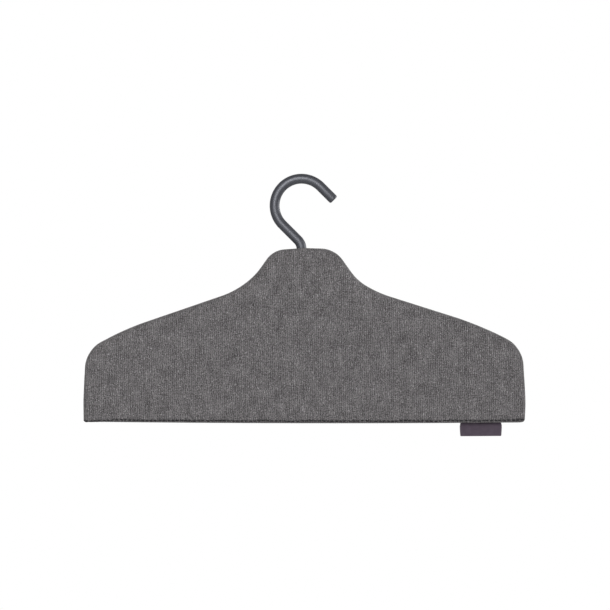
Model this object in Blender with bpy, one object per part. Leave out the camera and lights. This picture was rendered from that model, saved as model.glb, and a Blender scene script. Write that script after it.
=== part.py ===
"""A padded steaming hanger: a rigid two-shell board in a cloth sleeve, turning under a bent rod hook.

Lengths are in metres and +Z is up. The origin is the inside of the hook's crown, where the rail carries it.
The front of the hanger, the side that a garment is steamed on, faces -Y.
"""

import math

import bmesh
import bpy
from mathutils import Vector

MM = 0.001

# The hook: a round steel rod, bent in one plane
ROD_DIAMETER = 9.5 * MM
HOOK_INSIDE_DIAMETER = 46.0 * MM
HOOK_LEAN = math.radians(45.0)
TIP_RUN = 18.0 * MM
TIP_CHAMFER = 0.9 * MM
NECK_BEND_RADIUS = 13.2 * MM
STEM_DROP = 1.2 * MM
ROD_SIDES = 18
CROWN_STEPS = 24
BEND_STEPS = 5

# The swivel: the rod's turned-down stem in two flanged bushes, held by a washer and a clip
JOURNAL_DIAMETER = 6.0 * MM
GROOVE_DIAMETER = 4.6 * MM
STEM_END_LENGTH = 2.4 * MM
STEM_END_CHAMFER = 0.5 * MM
BUSH_WALL = 1.0 * MM
BUSH_FLANGE_DIAMETER = 10.0 * MM
BUSH_FLANGE_THICKNESS = 1.2 * MM
BUSH_SLEEVE_LENGTH = 11.0 * MM
WASHER_DIAMETER = 9.8 * MM
WASHER_THICKNESS = 0.8 * MM
CLIP_DIAMETER = 9.6 * MM
CLIP_THICKNESS = 0.7 * MM
CLIP_RELIEF = 1.0 * MM
TURNED_STEPS = 24

# The cover's outline, seen from the front
COVER_WIDTH = 450.0 * MM
COVER_HEIGHT = 177.5 * MM
# Each corner before it is rounded: its place across as a share of half the width, its place down as a share
# of the height, and its radius as a share of half the width, from the middle of the neck to the bottom corner.
OUTLINE_CORNER_SHARES = (
    (0.0, 0.0, 0.25),
    (0.143, 0.0125, 0.077),
    (0.228, 0.165, 0.384),
    (0.311, 0.243, 0.262),
    (0.801, 0.450, 1.244),
    (0.988, 0.578, 0.154),
    (1.0, 0.876, 0.5),
    (0.9985, 1.0, 0.0133),
)
OUTLINE_CORNER_STEPS = (2, 5, 3, 3, 3, 6, 1, 3)
SMALLEST_RADIUS = 0.4 * MM

# The layers from the board outwards
BOARD_THICKNESS = 13.0 * MM
PAD_THICKNESS = 2.3 * MM
PAD_EDGE_BEVEL = 0.8 * MM
CLOTH_THICKNESS = 1.0 * MM
SEAM_ALLOWANCE = 2.0 * MM
BOARD_SLACK = 0.5 * MM
COVER_EDGE_RADIUS = 4.5 * MM
COVER_EDGE_STEPS = 4
COVER_INSIDE_STEPS = 2

# The cover's mouth, along the bottom
FRONT_HEM_RISE = 3.35 * MM
FRONT_HEM_HEIGHT = 12.0 * MM
MOUTH_GAP = 1.2 * MM
TUCK_HEIGHT = 25.0 * MM
HOOK_HOLE_CLEARANCE = 0.6 * MM

# The label, a folded ribbon sewn in the bottom seam
LABEL_WIDTH = 41.4 * MM
LABEL_DROP = 13.9 * MM
LABEL_THICKNESS = 0.45 * MM
LABEL_ACROSS_SHARE = 0.8
LABEL_FOLD_STEPS = 8

# The board's two shells
FACE_WALL = 1.8 * MM
RIM_WALL = 1.8 * MM
BOARD_EDGE_RADIUS = 2.0 * MM
BOARD_EDGE_STEPS = 3
LIP_THICKNESS = 0.9 * MM
LIP_HEIGHT = 1.2 * MM
RIB_THICKNESS = 1.5 * MM
RIB_PITCH_SHARE = 0.16
RIB_SETBACK = 0.5 * MM
UPRIGHT_RIBS = 6
LONG_RIB_DOWN_SHARE = 0.80
SHOULDER_RIB_DEPTH = 26.0 * MM
SOCKET_WALL = 4.4 * MM
SOCKET_HEIGHT = 28.0 * MM
SOCKET_SKIRT = 0.6 * MM

# The screws that join the shells. Each stands on an upright rib, counted from the middle: either where that
# rib crosses the shoulder rib, or down it by a share of the height.
SCREW_DIAMETER = 3.0 * MM
SCREW_HEAD_DIAMETER = 6.0 * MM
SCREW_HEAD_HEIGHT = 1.7 * MM
SCREW_HEAD_ROUND = 0.5 * MM
SCREW_POINT_LENGTH = 1.0 * MM
SCREW_END_GAP = 0.6 * MM
RECESS_WIDTH = 0.8 * MM
RECESS_LENGTH = 3.0 * MM
RECESS_DEPTH = 0.9 * MM
HEAD_SINK = 0.5 * MM
BOSS_WALL = 2.0 * MM
SHOULDER_SCREW_RIBS = (2, 5)
SCREW_RIB_AND_DOWN_SHARES = ((0, 0.13), (1, 0.92), (5, 0.92))
SCREW_SIDES = 12

# Clearances: between pieces that touch or turn in the real object, and past a wall for a cut
FIT_GAP = 0.3 * MM
OVERRUN = 2.0 * MM
WELD_DISTANCE = 0.002 * MM

COLOURS = {
    "painted_steel": ((0.085, 0.086, 0.098), 0.42, 0.35),
    "acetal": ((0.72, 0.71, 0.67), 0.35, 0.0),
    "zinc": ((0.55, 0.56, 0.58), 0.35, 1.0),
    "spring_steel": ((0.22, 0.21, 0.2), 0.38, 1.0),
    "moulded_plastic": ((0.11, 0.11, 0.115), 0.55, 0.0),
    "foam": ((0.62, 0.6, 0.55), 0.95, 0.0),
    "cloth": ((0.135, 0.131, 0.133), 0.9, 0.0),
    "ribbon": ((0.075, 0.058, 0.078), 0.75, 0.0),
}

# Places worked out from the sizes above
ROD_RADIUS = ROD_DIAMETER / 2
JOURNAL_RADIUS = JOURNAL_DIAMETER / 2
CROWN_RADIUS = HOOK_INSIDE_DIAMETER / 2 + ROD_RADIUS
CROWN_CENTRE_Z = -HOOK_INSIDE_DIAMETER / 2
BEND_TANGENT = NECK_BEND_RADIUS * math.tan(HOOK_LEAN / 2)
BEND_END_Z = CROWN_CENTRE_Z - CROWN_RADIUS / math.sin(HOOK_LEAN) - BEND_TANGENT
COVER_TOP_Z = BEND_END_Z + STEM_DROP

HALF_WIDTH = COVER_WIDTH / 2
HALF_SEAM = FIT_GAP / 2
BOARD_HALF = BOARD_THICKNESS / 2
LAYER_DEPTH = max(PAD_THICKNESS, 2 * CLOTH_THICKNESS)
COVER_HALF = BOARD_HALF + FIT_GAP + LAYER_DEPTH + FIT_GAP + CLOTH_THICKNESS
BOARD_INSET = CLOTH_THICKNESS + SEAM_ALLOWANCE + BOARD_SLACK

LIP_OUTER_INSET = BOARD_INSET + RIM_WALL + FIT_GAP
LIP_INNER_INSET = LIP_OUTER_INSET + LIP_THICKNESS

BUSH_BORE_RADIUS = JOURNAL_RADIUS + FIT_GAP
BUSH_SLEEVE_RADIUS = BUSH_BORE_RADIUS + BUSH_WALL
SOCKET_BORE_RADIUS = BUSH_SLEEVE_RADIUS + FIT_GAP
BLOCK_HALF = SOCKET_BORE_RADIUS + SOCKET_WALL
SOCKET_TOP_Z = COVER_TOP_Z - BOARD_INSET
SOCKET_BOTTOM_Z = SOCKET_TOP_Z - SOCKET_HEIGHT
SHOULDER_Z = SOCKET_TOP_Z + FIT_GAP + BUSH_FLANGE_THICKNESS + FIT_GAP
WASHER_Z = SOCKET_BOTTOM_Z - FIT_GAP - BUSH_FLANGE_THICKNESS - FIT_GAP
CLIP_Z = WASHER_Z - WASHER_THICKNESS - FIT_GAP
GROOVE_BOTTOM_Z = CLIP_Z - CLIP_THICKNESS - FIT_GAP
STEM_END_Z = GROOVE_BOTTOM_Z - STEM_END_LENGTH

HEAD_SEAT = BOARD_HALF - HEAD_SINK - SCREW_HEAD_HEIGHT - FIT_GAP
SCREW_HOLE_RADIUS = SCREW_DIAMETER / 2 + FIT_GAP
BOSS_RADIUS = SCREW_HOLE_RADIUS + BOSS_WALL
SCREW_LENGTH = HEAD_SEAT + FIT_GAP + BOARD_HALF - FACE_WALL - SCREW_END_GAP

BOTTOM_Z = -COVER_HEIGHT
HEM_Z = BOTTOM_Z + FRONT_HEM_RISE
TUCK_TOP_Z = BOTTOM_Z + TUCK_HEIGHT


def clear_scene():
    for obj in list(bpy.data.objects):
        bpy.data.objects.remove(obj, do_unlink=True)


def make_materials():
    """One Principled material for each finish."""
    made = {}
    for name, (colour, roughness, metallic) in COLOURS.items():
        material = bpy.data.materials.new(name)
        material.use_nodes = True
        shader = material.node_tree.nodes["Principled BSDF"]
        shader.inputs["Base Color"].default_value = (*colour, 1.0)
        shader.inputs["Roughness"].default_value = roughness
        shader.inputs["Metallic"].default_value = metallic
        made[name] = material
    return made


def to_object(name, bm):
    """An object holding the bmesh, with its faces pointing out."""
    bmesh.ops.recalc_face_normals(bm, faces=bm.faces)
    mesh = bpy.data.meshes.new(name)
    bm.to_mesh(mesh)
    bm.free()
    obj = bpy.data.objects.new(name, mesh)
    bpy.context.scene.collection.objects.link(obj)
    return obj


def finish(obj, material, parent=None, location=(0.0, 0.0, 0.0)):
    """Gives a finished piece its material, its smooth shading and its place."""
    obj.data.materials.clear()
    obj.data.materials.append(material)
    obj.data.shade_smooth()
    obj.data.set_sharp_from_angle(angle=math.radians(35.0))
    obj.parent = parent
    obj.location = location
    return obj


def combine(obj, tool, operation):
    """Runs one Boolean on obj, keeps the result as its mesh and removes the tool."""
    modifier = obj.modifiers.new(operation.lower(), "BOOLEAN")
    modifier.operation = operation
    modifier.object = tool
    graph = bpy.context.evaluated_depsgraph_get()
    result = bpy.data.meshes.new_from_object(obj.evaluated_get(graph))
    bm = bmesh.new()
    bm.from_mesh(result)
    bmesh.ops.remove_doubles(bm, verts=bm.verts, dist=WELD_DISTANCE)
    bmesh.ops.dissolve_degenerate(bm, edges=bm.edges, dist=WELD_DISTANCE)
    bm.to_mesh(result)
    bm.free()
    before = obj.data
    obj.modifiers.clear()
    obj.data = result
    bpy.data.meshes.remove(before)
    bpy.data.objects.remove(tool, do_unlink=True)
    return obj


def cut(obj, *tools):
    for tool in tools:
        combine(obj, tool, "DIFFERENCE")
    return obj


def add(obj, *tools):
    for tool in tools:
        combine(obj, tool, "UNION")
    return obj


def skin(bm, loops, closed=False):
    """Faces between loops of equally many vertices, capped at the ends or closed on itself."""
    following = loops[1:] + loops[:1] if closed else loops[1:]
    for this, other in zip(loops, following):
        for i in range(len(this)):
            j = (i + 1) % len(this)
            bm.faces.new((this[i], this[j], other[j], other[i]))
    if not closed:
        bm.faces.new(loops[0])
        bm.faces.new(loops[-1])


def loft(rings, name="loft", closed=False):
    """A body through rings of equally many points."""
    bm = bmesh.new()
    skin(bm, [[bm.verts.new(point) for point in ring] for ring in rings], closed)
    return to_object(name, bm)


def box(low, high, name="box"):
    """A box between two corners."""
    bm = bmesh.new()
    bmesh.ops.create_cube(bm, size=1.0)
    low, high = Vector(low), Vector(high)
    for vert in bm.verts:
        vert.co = (low + high) / 2 + Vector(a * b for a, b in zip(vert.co, high - low))
    return to_object(name, bm)


def turned(profile, steps, name="turned"):
    """A closed profile of (radius, height) points spun about the Z axis."""
    bm = bmesh.new()
    verts = [bm.verts.new((radius, 0.0, z)) for radius, z in profile]
    edges = [bm.edges.new(pair) for pair in zip(verts, verts[1:] + verts[:1])]
    bmesh.ops.spin(
        bm, geom=verts + edges, cent=(0, 0, 0), axis=(0, 0, 1), angle=math.tau, steps=steps,
        use_merge=True,
    )
    bmesh.ops.remove_doubles(bm, verts=bm.verts, dist=SMALLEST_RADIUS * 1e-4)
    on_axis = [e for e in bm.edges if all(v.co.xy.length < SMALLEST_RADIUS * 1e-3 for v in e.verts)]
    bmesh.ops.delete(bm, geom=on_axis, context="EDGES")
    return to_object(name, bm)


def rods_along_y(places, pairs, name="rods"):
    """Round stepped bodies along Y, one at each place (x, z), through (radius, y) pairs: cutters or bosses."""
    bm = bmesh.new()
    angles = [math.tau * i / SCREW_SIDES for i in range(SCREW_SIDES)]
    for x, z in places:
        loops = []
        for radius, y in pairs:
            points = [(x + radius * math.cos(a), y, z + radius * math.sin(a)) for a in angles]
            loops.append([bm.verts.new(point) for point in points])
        skin(bm, loops)
    return to_object(name, bm)


def heading(points, i):
    """The direction from one point to the next round a closed line."""
    return (points[(i + 1) % len(points)] - points[i % len(points)]).normalized()


def outline_corners():
    """The cover's corners as points, from the neck down the right side and round."""
    right = [Vector((across * HALF_WIDTH, -down * COVER_HEIGHT)) for across, down, _ in OUTLINE_CORNER_SHARES]
    return right + [Vector((-point.x, point.y)) for point in reversed(right[1:])]


def corner_radii(corners):
    """The radius at each corner, less where the arcs of two neighbours would run into each other."""
    right = [radius * HALF_WIDTH for _, _, radius in OUTLINE_CORNER_SHARES]
    wanted = right + right[:0:-1]
    count = len(corners)
    runs = [wanted[i] * math.tan(heading(corners, i - 1).angle(heading(corners, i)) / 2) for i in range(count)]
    radii = []
    for i in range(count):
        before = (corners[i] - corners[i - 1]).length / (runs[i - 1] + runs[i])
        after = (corners[(i + 1) % count] - corners[i]).length / (runs[i] + runs[(i + 1) % count])
        radii.append(wanted[i] * min(before, after, 1.0))
    return radii


def outline(inset=0.0):
    """Points (x, z) of the cover's outline moved in by inset, each corner rounded by an arc."""
    corners = outline_corners()
    steps_round = OUTLINE_CORNER_STEPS + OUTLINE_CORNER_STEPS[:0:-1]
    points = []
    for i, (corner, radius, steps) in enumerate(zip(corners, corner_radii(corners), steps_round)):
        heading_in, heading_out = heading(corners, i - 1), heading(corners, i)
        inward_in = Vector((heading_in.y, -heading_in.x))
        inward_out = Vector((heading_out.y, -heading_out.x))
        moved = corner + inset * (inward_in + inward_out) / (1 + inward_in.dot(inward_out))
        turn = heading_in.angle(heading_out)
        side = 1 if heading_in.cross(heading_out) < 0 else -1
        radius = max(radius - side * inset, SMALLEST_RADIUS)
        start = moved - heading_in * radius * math.tan(turn / 2)
        centre = start + side * inward_in * radius
        spoke = start - centre
        for k in range(steps + 1):
            swing = -side * turn * k / steps
            c, s = math.cos(swing), math.sin(swing)
            points.append(centre + Vector((c * spoke.x - s * spoke.y, s * spoke.x + c * spoke.y)))
    return points


def layer(inset, y):
    """One ring of the outline at a depth y."""
    return [(point.x, y, point.y) for point in outline(inset)]


def plate(inset, y_from, y_to, name="plate"):
    """A flat plate of the outline moved in by inset."""
    return loft([layer(inset, y_from), layer(inset, y_to)], name)


def rounded_edge(inset, depth, radius, steps):
    """(inset, depth) pairs round an outer edge, from the flat face to the side wall."""
    pairs = []
    for k in range(steps + 1):
        turn = math.pi / 2 * k / steps
        pairs.append((inset + radius * (1 - math.sin(turn)), depth - radius * (1 - math.cos(turn))))
    return pairs


def side_depth(pairs, side):
    """Rings for (inset, depth) pairs on the front (side -1) or the rear (side 1)."""
    return [layer(inset, side * depth) for inset, depth in pairs]


def make_hook():
    """The rod swept through the hook's path, then turned down for its stem, groove and end."""
    lean = Vector((math.sin(HOOK_LEAN), -math.cos(HOOK_LEAN)))
    centre = Vector((0.0, CROWN_CENTRE_Z))
    stations = []

    def station(point, heading, radius):
        stations.append((point, heading, radius))

    def on_crown(angle):
        return centre + CROWN_RADIUS * Vector((math.cos(angle), math.sin(angle)))

    crown_start = math.pi / 2 - HOOK_LEAN
    crown_end = math.pi + (math.pi / 2 - HOOK_LEAN)
    tip = on_crown(crown_start) + lean * TIP_RUN
    station(tip, -lean, ROD_RADIUS - TIP_CHAMFER)
    station(tip - lean * TIP_CHAMFER, -lean, ROD_RADIUS)
    for k in range(CROWN_STEPS + 1):
        angle = crown_start + (crown_end - crown_start) * k / CROWN_STEPS
        station(on_crown(angle), Vector((-math.sin(angle), math.cos(angle))), ROD_RADIUS)
    bend_centre = Vector((-NECK_BEND_RADIUS, BEND_END_Z))
    for k in range(BEND_STEPS + 1):
        angle = HOOK_LEAN * (1 - k / BEND_STEPS)
        point = bend_centre + NECK_BEND_RADIUS * Vector((math.cos(angle), math.sin(angle)))
        station(point, Vector((math.sin(angle), -math.cos(angle))), ROD_RADIUS)
    down = Vector((0.0, -1.0))
    groove_radius = GROOVE_DIAMETER / 2
    for z, radius in (
        (SHOULDER_Z, ROD_RADIUS),
        (SHOULDER_Z, JOURNAL_RADIUS),
        (CLIP_Z + FIT_GAP, JOURNAL_RADIUS),
        (CLIP_Z + FIT_GAP, groove_radius),
        (GROOVE_BOTTOM_Z, groove_radius),
        (GROOVE_BOTTOM_Z, JOURNAL_RADIUS),
        (STEM_END_Z + STEM_END_CHAMFER, JOURNAL_RADIUS),
        (STEM_END_Z, JOURNAL_RADIUS - STEM_END_CHAMFER),
    ):
        station(Vector((0.0, z)), down, radius)

    rings = []
    for point, heading, radius in stations:
        across = Vector((-heading.y, heading.x))
        ring = []
        for i in range(ROD_SIDES):
            angle = math.tau * i / ROD_SIDES
            offset = across * radius * math.cos(angle)
            ring.append((point.x + offset.x, radius * math.sin(angle), point.y + offset.y))
        rings.append(ring)
    return loft(rings, "hook")


def make_bush(name):
    """A flanged bush, its flange up and the flange's underside at height zero."""
    flange_radius = BUSH_FLANGE_DIAMETER / 2
    profile = (
        (BUSH_BORE_RADIUS, BUSH_FLANGE_THICKNESS),
        (flange_radius, BUSH_FLANGE_THICKNESS),
        (flange_radius, 0.0),
        (BUSH_SLEEVE_RADIUS, 0.0),
        (BUSH_SLEEVE_RADIUS, -BUSH_SLEEVE_LENGTH),
        (BUSH_BORE_RADIUS, -BUSH_SLEEVE_LENGTH),
    )
    return turned(profile, TURNED_STEPS, name)


def make_washer():
    radius = WASHER_DIAMETER / 2
    profile = (
        (BUSH_BORE_RADIUS, 0.0),
        (radius, 0.0),
        (radius, -WASHER_THICKNESS),
        (BUSH_BORE_RADIUS, -WASHER_THICKNESS),
    )
    return turned(profile, TURNED_STEPS, "thrust_washer")


def make_clip():
    """An E-clip: three prongs reach the groove, with reliefs between them and a mouth at the back."""
    prong_radius = GROOVE_DIAMETER / 2 + FIT_GAP
    relief_radius = prong_radius + CLIP_RELIEF
    outer_radius = CLIP_DIAMETER / 2
    mouth = math.radians(42.0)
    prong_half = math.radians(16.0)
    ramp = math.radians(4.0)
    span = math.tau - 2 * mouth
    prong_centres = (mouth + prong_half, math.pi, math.tau - mouth - prong_half)
    knots = []
    for middle in prong_centres:
        knots += [
            (middle - prong_half - ramp, relief_radius),
            (middle - prong_half, prong_radius),
            (middle, prong_radius),
            (middle + prong_half, prong_radius),
            (middle + prong_half + ramp, relief_radius),
        ]
    inner = knots[1:-1]
    outer = [(mouth + span * k / TURNED_STEPS, outer_radius) for k in range(TURNED_STEPS + 1)]
    polar = outer + inner[::-1]
    rings = []
    for z in (0.0, -CLIP_THICKNESS):
        rings.append([(r * math.cos(a), r * math.sin(a), z) for a, r in polar])
    return loft(rings, "retaining_clip")


def upright_x(number):
    """How far from the middle an upright rib stands."""
    return (number + 0.5) * RIB_PITCH_SHARE * HALF_WIDTH


def shoulder_point(x):
    """A point of the shoulder rib, which runs along the shoulder's straight stretch at a steady depth."""
    upper, lower = outline_corners()[3:5]
    along = (lower - upper).normalized()
    on_rib = upper + Vector((along.y, -along.x)) * SHOULDER_RIB_DEPTH
    return on_rib + along * (x - on_rib.x) / along.x


def rib_bodies(side, top, past):
    """The ribs of one shell: uprights, one long rib and a V of ribs under the shoulders, each set back more."""
    half = RIB_THICKNESS / 2
    reach = HALF_WIDTH + OVERRUN

    def depths(setbacks):
        y = side * (top + setbacks * RIB_SETBACK)
        return min(y, past), max(y, past)

    low, high = depths(1)
    bodies = []
    for number in range(UPRIGHT_RIBS):
        for x in (upright_x(number), -upright_x(number)):
            bodies.append(box((x - half, low, BOTTOM_Z - OVERRUN), (x + half, high, OVERRUN)))
    low, high = depths(2)
    z = -LONG_RIB_DOWN_SHARE * COVER_HEIGHT
    bodies.append(box((-reach, low, z - half), (reach, high, z + half)))
    middle, end = shoulder_point(0.0), shoulder_point(upright_x(UPRIGHT_RIBS - 1))
    along = (end - middle).normalized()
    sideways = Vector((along.y, -along.x)) * half
    rise = Vector((0.0, half / along.x))
    lower, upper = end + sideways, end - sideways
    if sideways.y > 0:
        lower, upper = upper, lower
    left_lower, left_upper = Vector((-lower.x, lower.y)), Vector((-upper.x, upper.y))
    outline_points = (left_lower, middle - rise, lower, upper, middle + rise, left_upper)
    rings = [[(point.x, y, point.y) for point in outline_points] for y in depths(3)]
    bodies.append(loft(rings, "shoulder_ribs"))
    return bodies


def screw_places():
    """(x, z) of each screw, on both sides."""
    places = [(upright_x(rib), -down * COVER_HEIGHT) for rib, down in SCREW_RIB_AND_DOWN_SHARES]
    places += [tuple(shoulder_point(upright_x(rib))) for rib in SHOULDER_SCREW_RIBS]
    return [(side * x, z) for x, z in places for side in (1, -1)]


def socket_profile_cut():
    """The bore for both bushes, and the pocket below them for flange, washer and clip."""
    pocket_radius = max(BUSH_FLANGE_DIAMETER, WASHER_DIAMETER, CLIP_DIAMETER) / 2 + FIT_GAP
    bottom = STEM_END_Z - FIT_GAP - COVER_TOP_Z
    profile = (
        (0.0, OVERRUN),
        (SOCKET_BORE_RADIUS, OVERRUN),
        (SOCKET_BORE_RADIUS, SOCKET_BOTTOM_Z - COVER_TOP_Z),
        (pocket_radius, SOCKET_BOTTOM_Z - COVER_TOP_Z),
        (pocket_radius, bottom),
        (0.0, bottom),
    )
    return turned(profile, TURNED_STEPS, "socket_cut")


def cavity(side, rim_inset, mouth, rib_top, boss_top, block_top_z):
    """What is hollow inside one shell: its inside, less its ribs, its bosses and the block round the socket.

    mouth is how far the cutter runs past the seam. rib_top and boss_top are depths from the seam into the shell.
    """
    floor_depth = BOARD_HALF - FACE_WALL
    hollow = plate(rim_inset, -side * mouth, side * floor_depth, "cavity")
    y_boss, y_past = side * boss_top, side * (floor_depth + OVERRUN)
    cut(hollow, *rib_bodies(side, rib_top, y_past))
    cut(hollow, rods_along_y(screw_places(), ((BOSS_RADIUS, y_boss), (BOSS_RADIUS, y_past))))
    low, high = min(y_boss, y_past), max(y_boss, y_past)
    block_bottom_z = SOCKET_BOTTOM_Z - COVER_TOP_Z - SOCKET_SKIRT
    return cut(hollow, box((-BLOCK_HALF, low, block_bottom_z), (BLOCK_HALF, high, block_top_z)))


def make_front_shell():
    """The half behind the front pad, with the blind screw bosses and the lip round its rim."""
    pairs = rounded_edge(BOARD_INSET, BOARD_HALF, BOARD_EDGE_RADIUS, BOARD_EDGE_STEPS)
    pairs += [(BOARD_INSET, HALF_SEAM), (LIP_OUTER_INSET, HALF_SEAM), (LIP_OUTER_INSET, -LIP_HEIGHT)]
    shell = loft(side_depth(pairs, -1), "front_shell")
    cut(shell, cavity(-1, LIP_INNER_INSET, LIP_HEIGHT + OVERRUN, HALF_SEAM, HALF_SEAM, OVERRUN))
    blind = ((SCREW_HOLE_RADIUS, OVERRUN), (SCREW_HOLE_RADIUS, FACE_WALL - BOARD_HALF))
    return cut(shell, socket_profile_cut(), rods_along_y(screw_places(), blind))


def make_rear_shell():
    """The half behind the rear pad: the screw heads are let into it, and the front's lip fits inside its rim."""
    pairs = rounded_edge(BOARD_INSET, BOARD_HALF, BOARD_EDGE_RADIUS, BOARD_EDGE_STEPS)
    pairs.append((BOARD_INSET, HALF_SEAM))
    shell = loft(side_depth(pairs, 1), "rear_shell")
    neck_across, neck_down, _ = OUTLINE_CORNER_SHARES[1]
    drop_over_block = BLOCK_HALF * neck_down * COVER_HEIGHT / (neck_across * HALF_WIDTH)
    block_top_z = -LIP_INNER_INSET - FIT_GAP - drop_over_block
    rib_top = LIP_HEIGHT + FIT_GAP
    cut(shell, cavity(1, BOARD_INSET + RIM_WALL, OVERRUN, rib_top, -2 * OVERRUN, block_top_z))
    head_radius = SCREW_HEAD_DIAMETER / 2 + FIT_GAP
    stepped = (
        (SCREW_HOLE_RADIUS, -OVERRUN),
        (SCREW_HOLE_RADIUS, HEAD_SEAT),
        (head_radius, HEAD_SEAT),
        (head_radius, BOARD_HALF + OVERRUN),
    )
    return cut(shell, socket_profile_cut(), rods_along_y(screw_places(), stepped))


def make_screw():
    """A pan-head screw along Z, head up, with the underside of its head at height zero."""
    head, shank = SCREW_HEAD_DIAMETER / 2, SCREW_DIAMETER / 2
    profile = (
        (0.0, SCREW_HEAD_HEIGHT),
        (head - SCREW_HEAD_ROUND, SCREW_HEAD_HEIGHT),
        (head, SCREW_HEAD_HEIGHT - SCREW_HEAD_ROUND),
        (head, 0.0),
        (shank, 0.0),
        (shank, SCREW_POINT_LENGTH - SCREW_LENGTH),
        (shank / 2, -SCREW_LENGTH),
        (0.0, -SCREW_LENGTH),
    )
    screw = turned(profile, SCREW_SIDES, "screw")
    floor, top = SCREW_HEAD_HEIGHT - RECESS_DEPTH, SCREW_HEAD_HEIGHT + OVERRUN
    wide, long = RECESS_WIDTH / 2, RECESS_LENGTH / 2
    cross = add(
        box((-long, -wide, floor), (long, wide, top)),
        box((-wide, -long, floor), (wide, long, top)),
    )
    return cut(screw, cross)


def make_pad(name, side, bottom_z):
    """A flat pad as far out as the cover's face is flat, cut off at bottom_z."""
    inner = BOARD_HALF + FIT_GAP
    outer = inner + PAD_THICKNESS
    pairs = [
        (COVER_EDGE_RADIUS + PAD_EDGE_BEVEL, outer),
        (COVER_EDGE_RADIUS, outer - PAD_EDGE_BEVEL),
        (COVER_EDGE_RADIUS, inner),
    ]
    pad = loft(side_depth(pairs, side), name)
    if bottom_z is not None:
        past = HALF_WIDTH + OVERRUN
        deep = COVER_HALF + OVERRUN
        cut(pad, box((-past, -deep, BOTTOM_Z - OVERRUN), (past, deep, bottom_z)))
    return pad


def make_tray(name, side):
    """One cloth panel: flat face, rounded edge, side wall and the seam allowance turned in at the seam."""
    inner_radius = COVER_EDGE_RADIUS - CLOTH_THICKNESS
    outside = rounded_edge(0.0, COVER_HALF, COVER_EDGE_RADIUS, COVER_EDGE_STEPS)
    allowance_inset = CLOTH_THICKNESS + SEAM_ALLOWANCE
    allowance_top = HALF_SEAM + CLOTH_THICKNESS
    seam = [
        (0.0, HALF_SEAM),
        (allowance_inset, HALF_SEAM),
        (allowance_inset, allowance_top),
        (CLOTH_THICKNESS, allowance_top),
    ]
    inside = rounded_edge(
        CLOTH_THICKNESS, COVER_HALF - CLOTH_THICKNESS, inner_radius, COVER_INSIDE_STEPS
    )[::-1]
    tray = loft(side_depth(outside + seam + inside, side), name)
    flange_radius = BUSH_FLANGE_DIAMETER / 2 + FIT_GAP
    hole_radius = ROD_RADIUS + HOOK_HOLE_CLEARANCE
    below = -allowance_inset - OVERRUN
    profile = (
        (0.0, OVERRUN),
        (hole_radius, OVERRUN),
        (hole_radius, -CLOTH_THICKNESS),
        (max(hole_radius, flange_radius), -CLOTH_THICKNESS - SMALLEST_RADIUS / 2),
        (max(hole_radius, flange_radius), below),
        (0.0, below),
    )
    return cut(tray, turned(profile, TURNED_STEPS, "hook_hole"))


def make_cover_front():
    """The front panel, open along the bottom, where its hem is folded double."""
    tray = make_tray("cover_front", -1)
    face = -COVER_HALF + CLOTH_THICKNESS / 2
    hem_inside = -COVER_HALF + 2 * CLOTH_THICKNESS
    reach = HALF_WIDTH - COVER_EDGE_RADIUS
    hem = box((-reach, face, HEM_Z - OVERRUN), (reach, hem_inside, HEM_Z + FRONT_HEM_HEIGHT))
    past, deep = HALF_WIDTH + OVERRUN, COVER_HALF + OVERRUN
    below = box((-past, -deep, BOTTOM_Z - OVERRUN), (past, deep, HEM_Z))
    return cut(add(tray, hem), below)


def label_faces():
    """The depths of the label's rear and front faces, between the rear panel's seam and the flap's."""
    return -HALF_SEAM, -HALF_SEAM - 2 * LABEL_THICKNESS - FIT_GAP


def make_tuck_flap():
    """The strip that closes the mouth: sewn to the rear panel, it turns under the board and tucks up."""
    flap = make_tray("tuck_flap", -1)
    past, deep = HALF_WIDTH + OVERRUN, COVER_HALF + OVERRUN
    cut(flap, box((-past, -deep, HEM_Z - MOUTH_GAP), (past, deep, OVERRUN)))
    tuck_out = -BOARD_HALF - FIT_GAP - CLOTH_THICKNESS
    tuck_in = -BOARD_HALF - FIT_GAP
    reach = HALF_WIDTH - COVER_EDGE_RADIUS - FIT_GAP
    root_z = BOTTOM_Z + CLOTH_THICKNESS / 2
    add(flap, box((-reach, tuck_out, root_z), (reach, tuck_in, TUCK_TOP_Z)))
    middle = LABEL_ACROSS_SHARE * HALF_WIDTH
    half = LABEL_WIDTH / 2 + FIT_GAP
    slot_front = label_faces()[1] - FIT_GAP
    slot = box((middle - half, slot_front, BOTTOM_Z - OVERRUN), (middle + half, OVERRUN, HEM_Z + OVERRUN))
    return cut(flap, slot)


def make_label():
    """A ribbon folded in half, its two ends up in the seam and its fold hanging below the cover."""
    rear_y, front_y = label_faces()
    middle_y = (rear_y + front_y) / 2
    outer = (rear_y - front_y) / 2
    inner = outer - LABEL_THICKNESS
    top = BOTTOM_Z + CLOTH_THICKNESS + SEAM_ALLOWANCE
    fold_z = BOTTOM_Z - LABEL_DROP + outer
    section = [Vector((middle_y - outer, top))]
    for radius, sign in ((outer, 1), (inner, -1)):
        for k in range(LABEL_FOLD_STEPS + 1):
            angle = math.pi + math.pi * (k if sign > 0 else LABEL_FOLD_STEPS - k) / LABEL_FOLD_STEPS
            section.append(Vector((middle_y + radius * math.cos(angle), fold_z + radius * math.sin(angle))))
        if sign > 0:
            section += [Vector((middle_y + outer, top)), Vector((middle_y + inner, top))]
    section.append(Vector((middle_y - inner, top)))
    middle = LABEL_ACROSS_SHARE * HALF_WIDTH
    rings = []
    for x in (middle - LABEL_WIDTH / 2, middle + LABEL_WIDTH / 2):
        rings.append([(x, point.x, point.y) for point in section])
    return loft(rings, "label")


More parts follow.
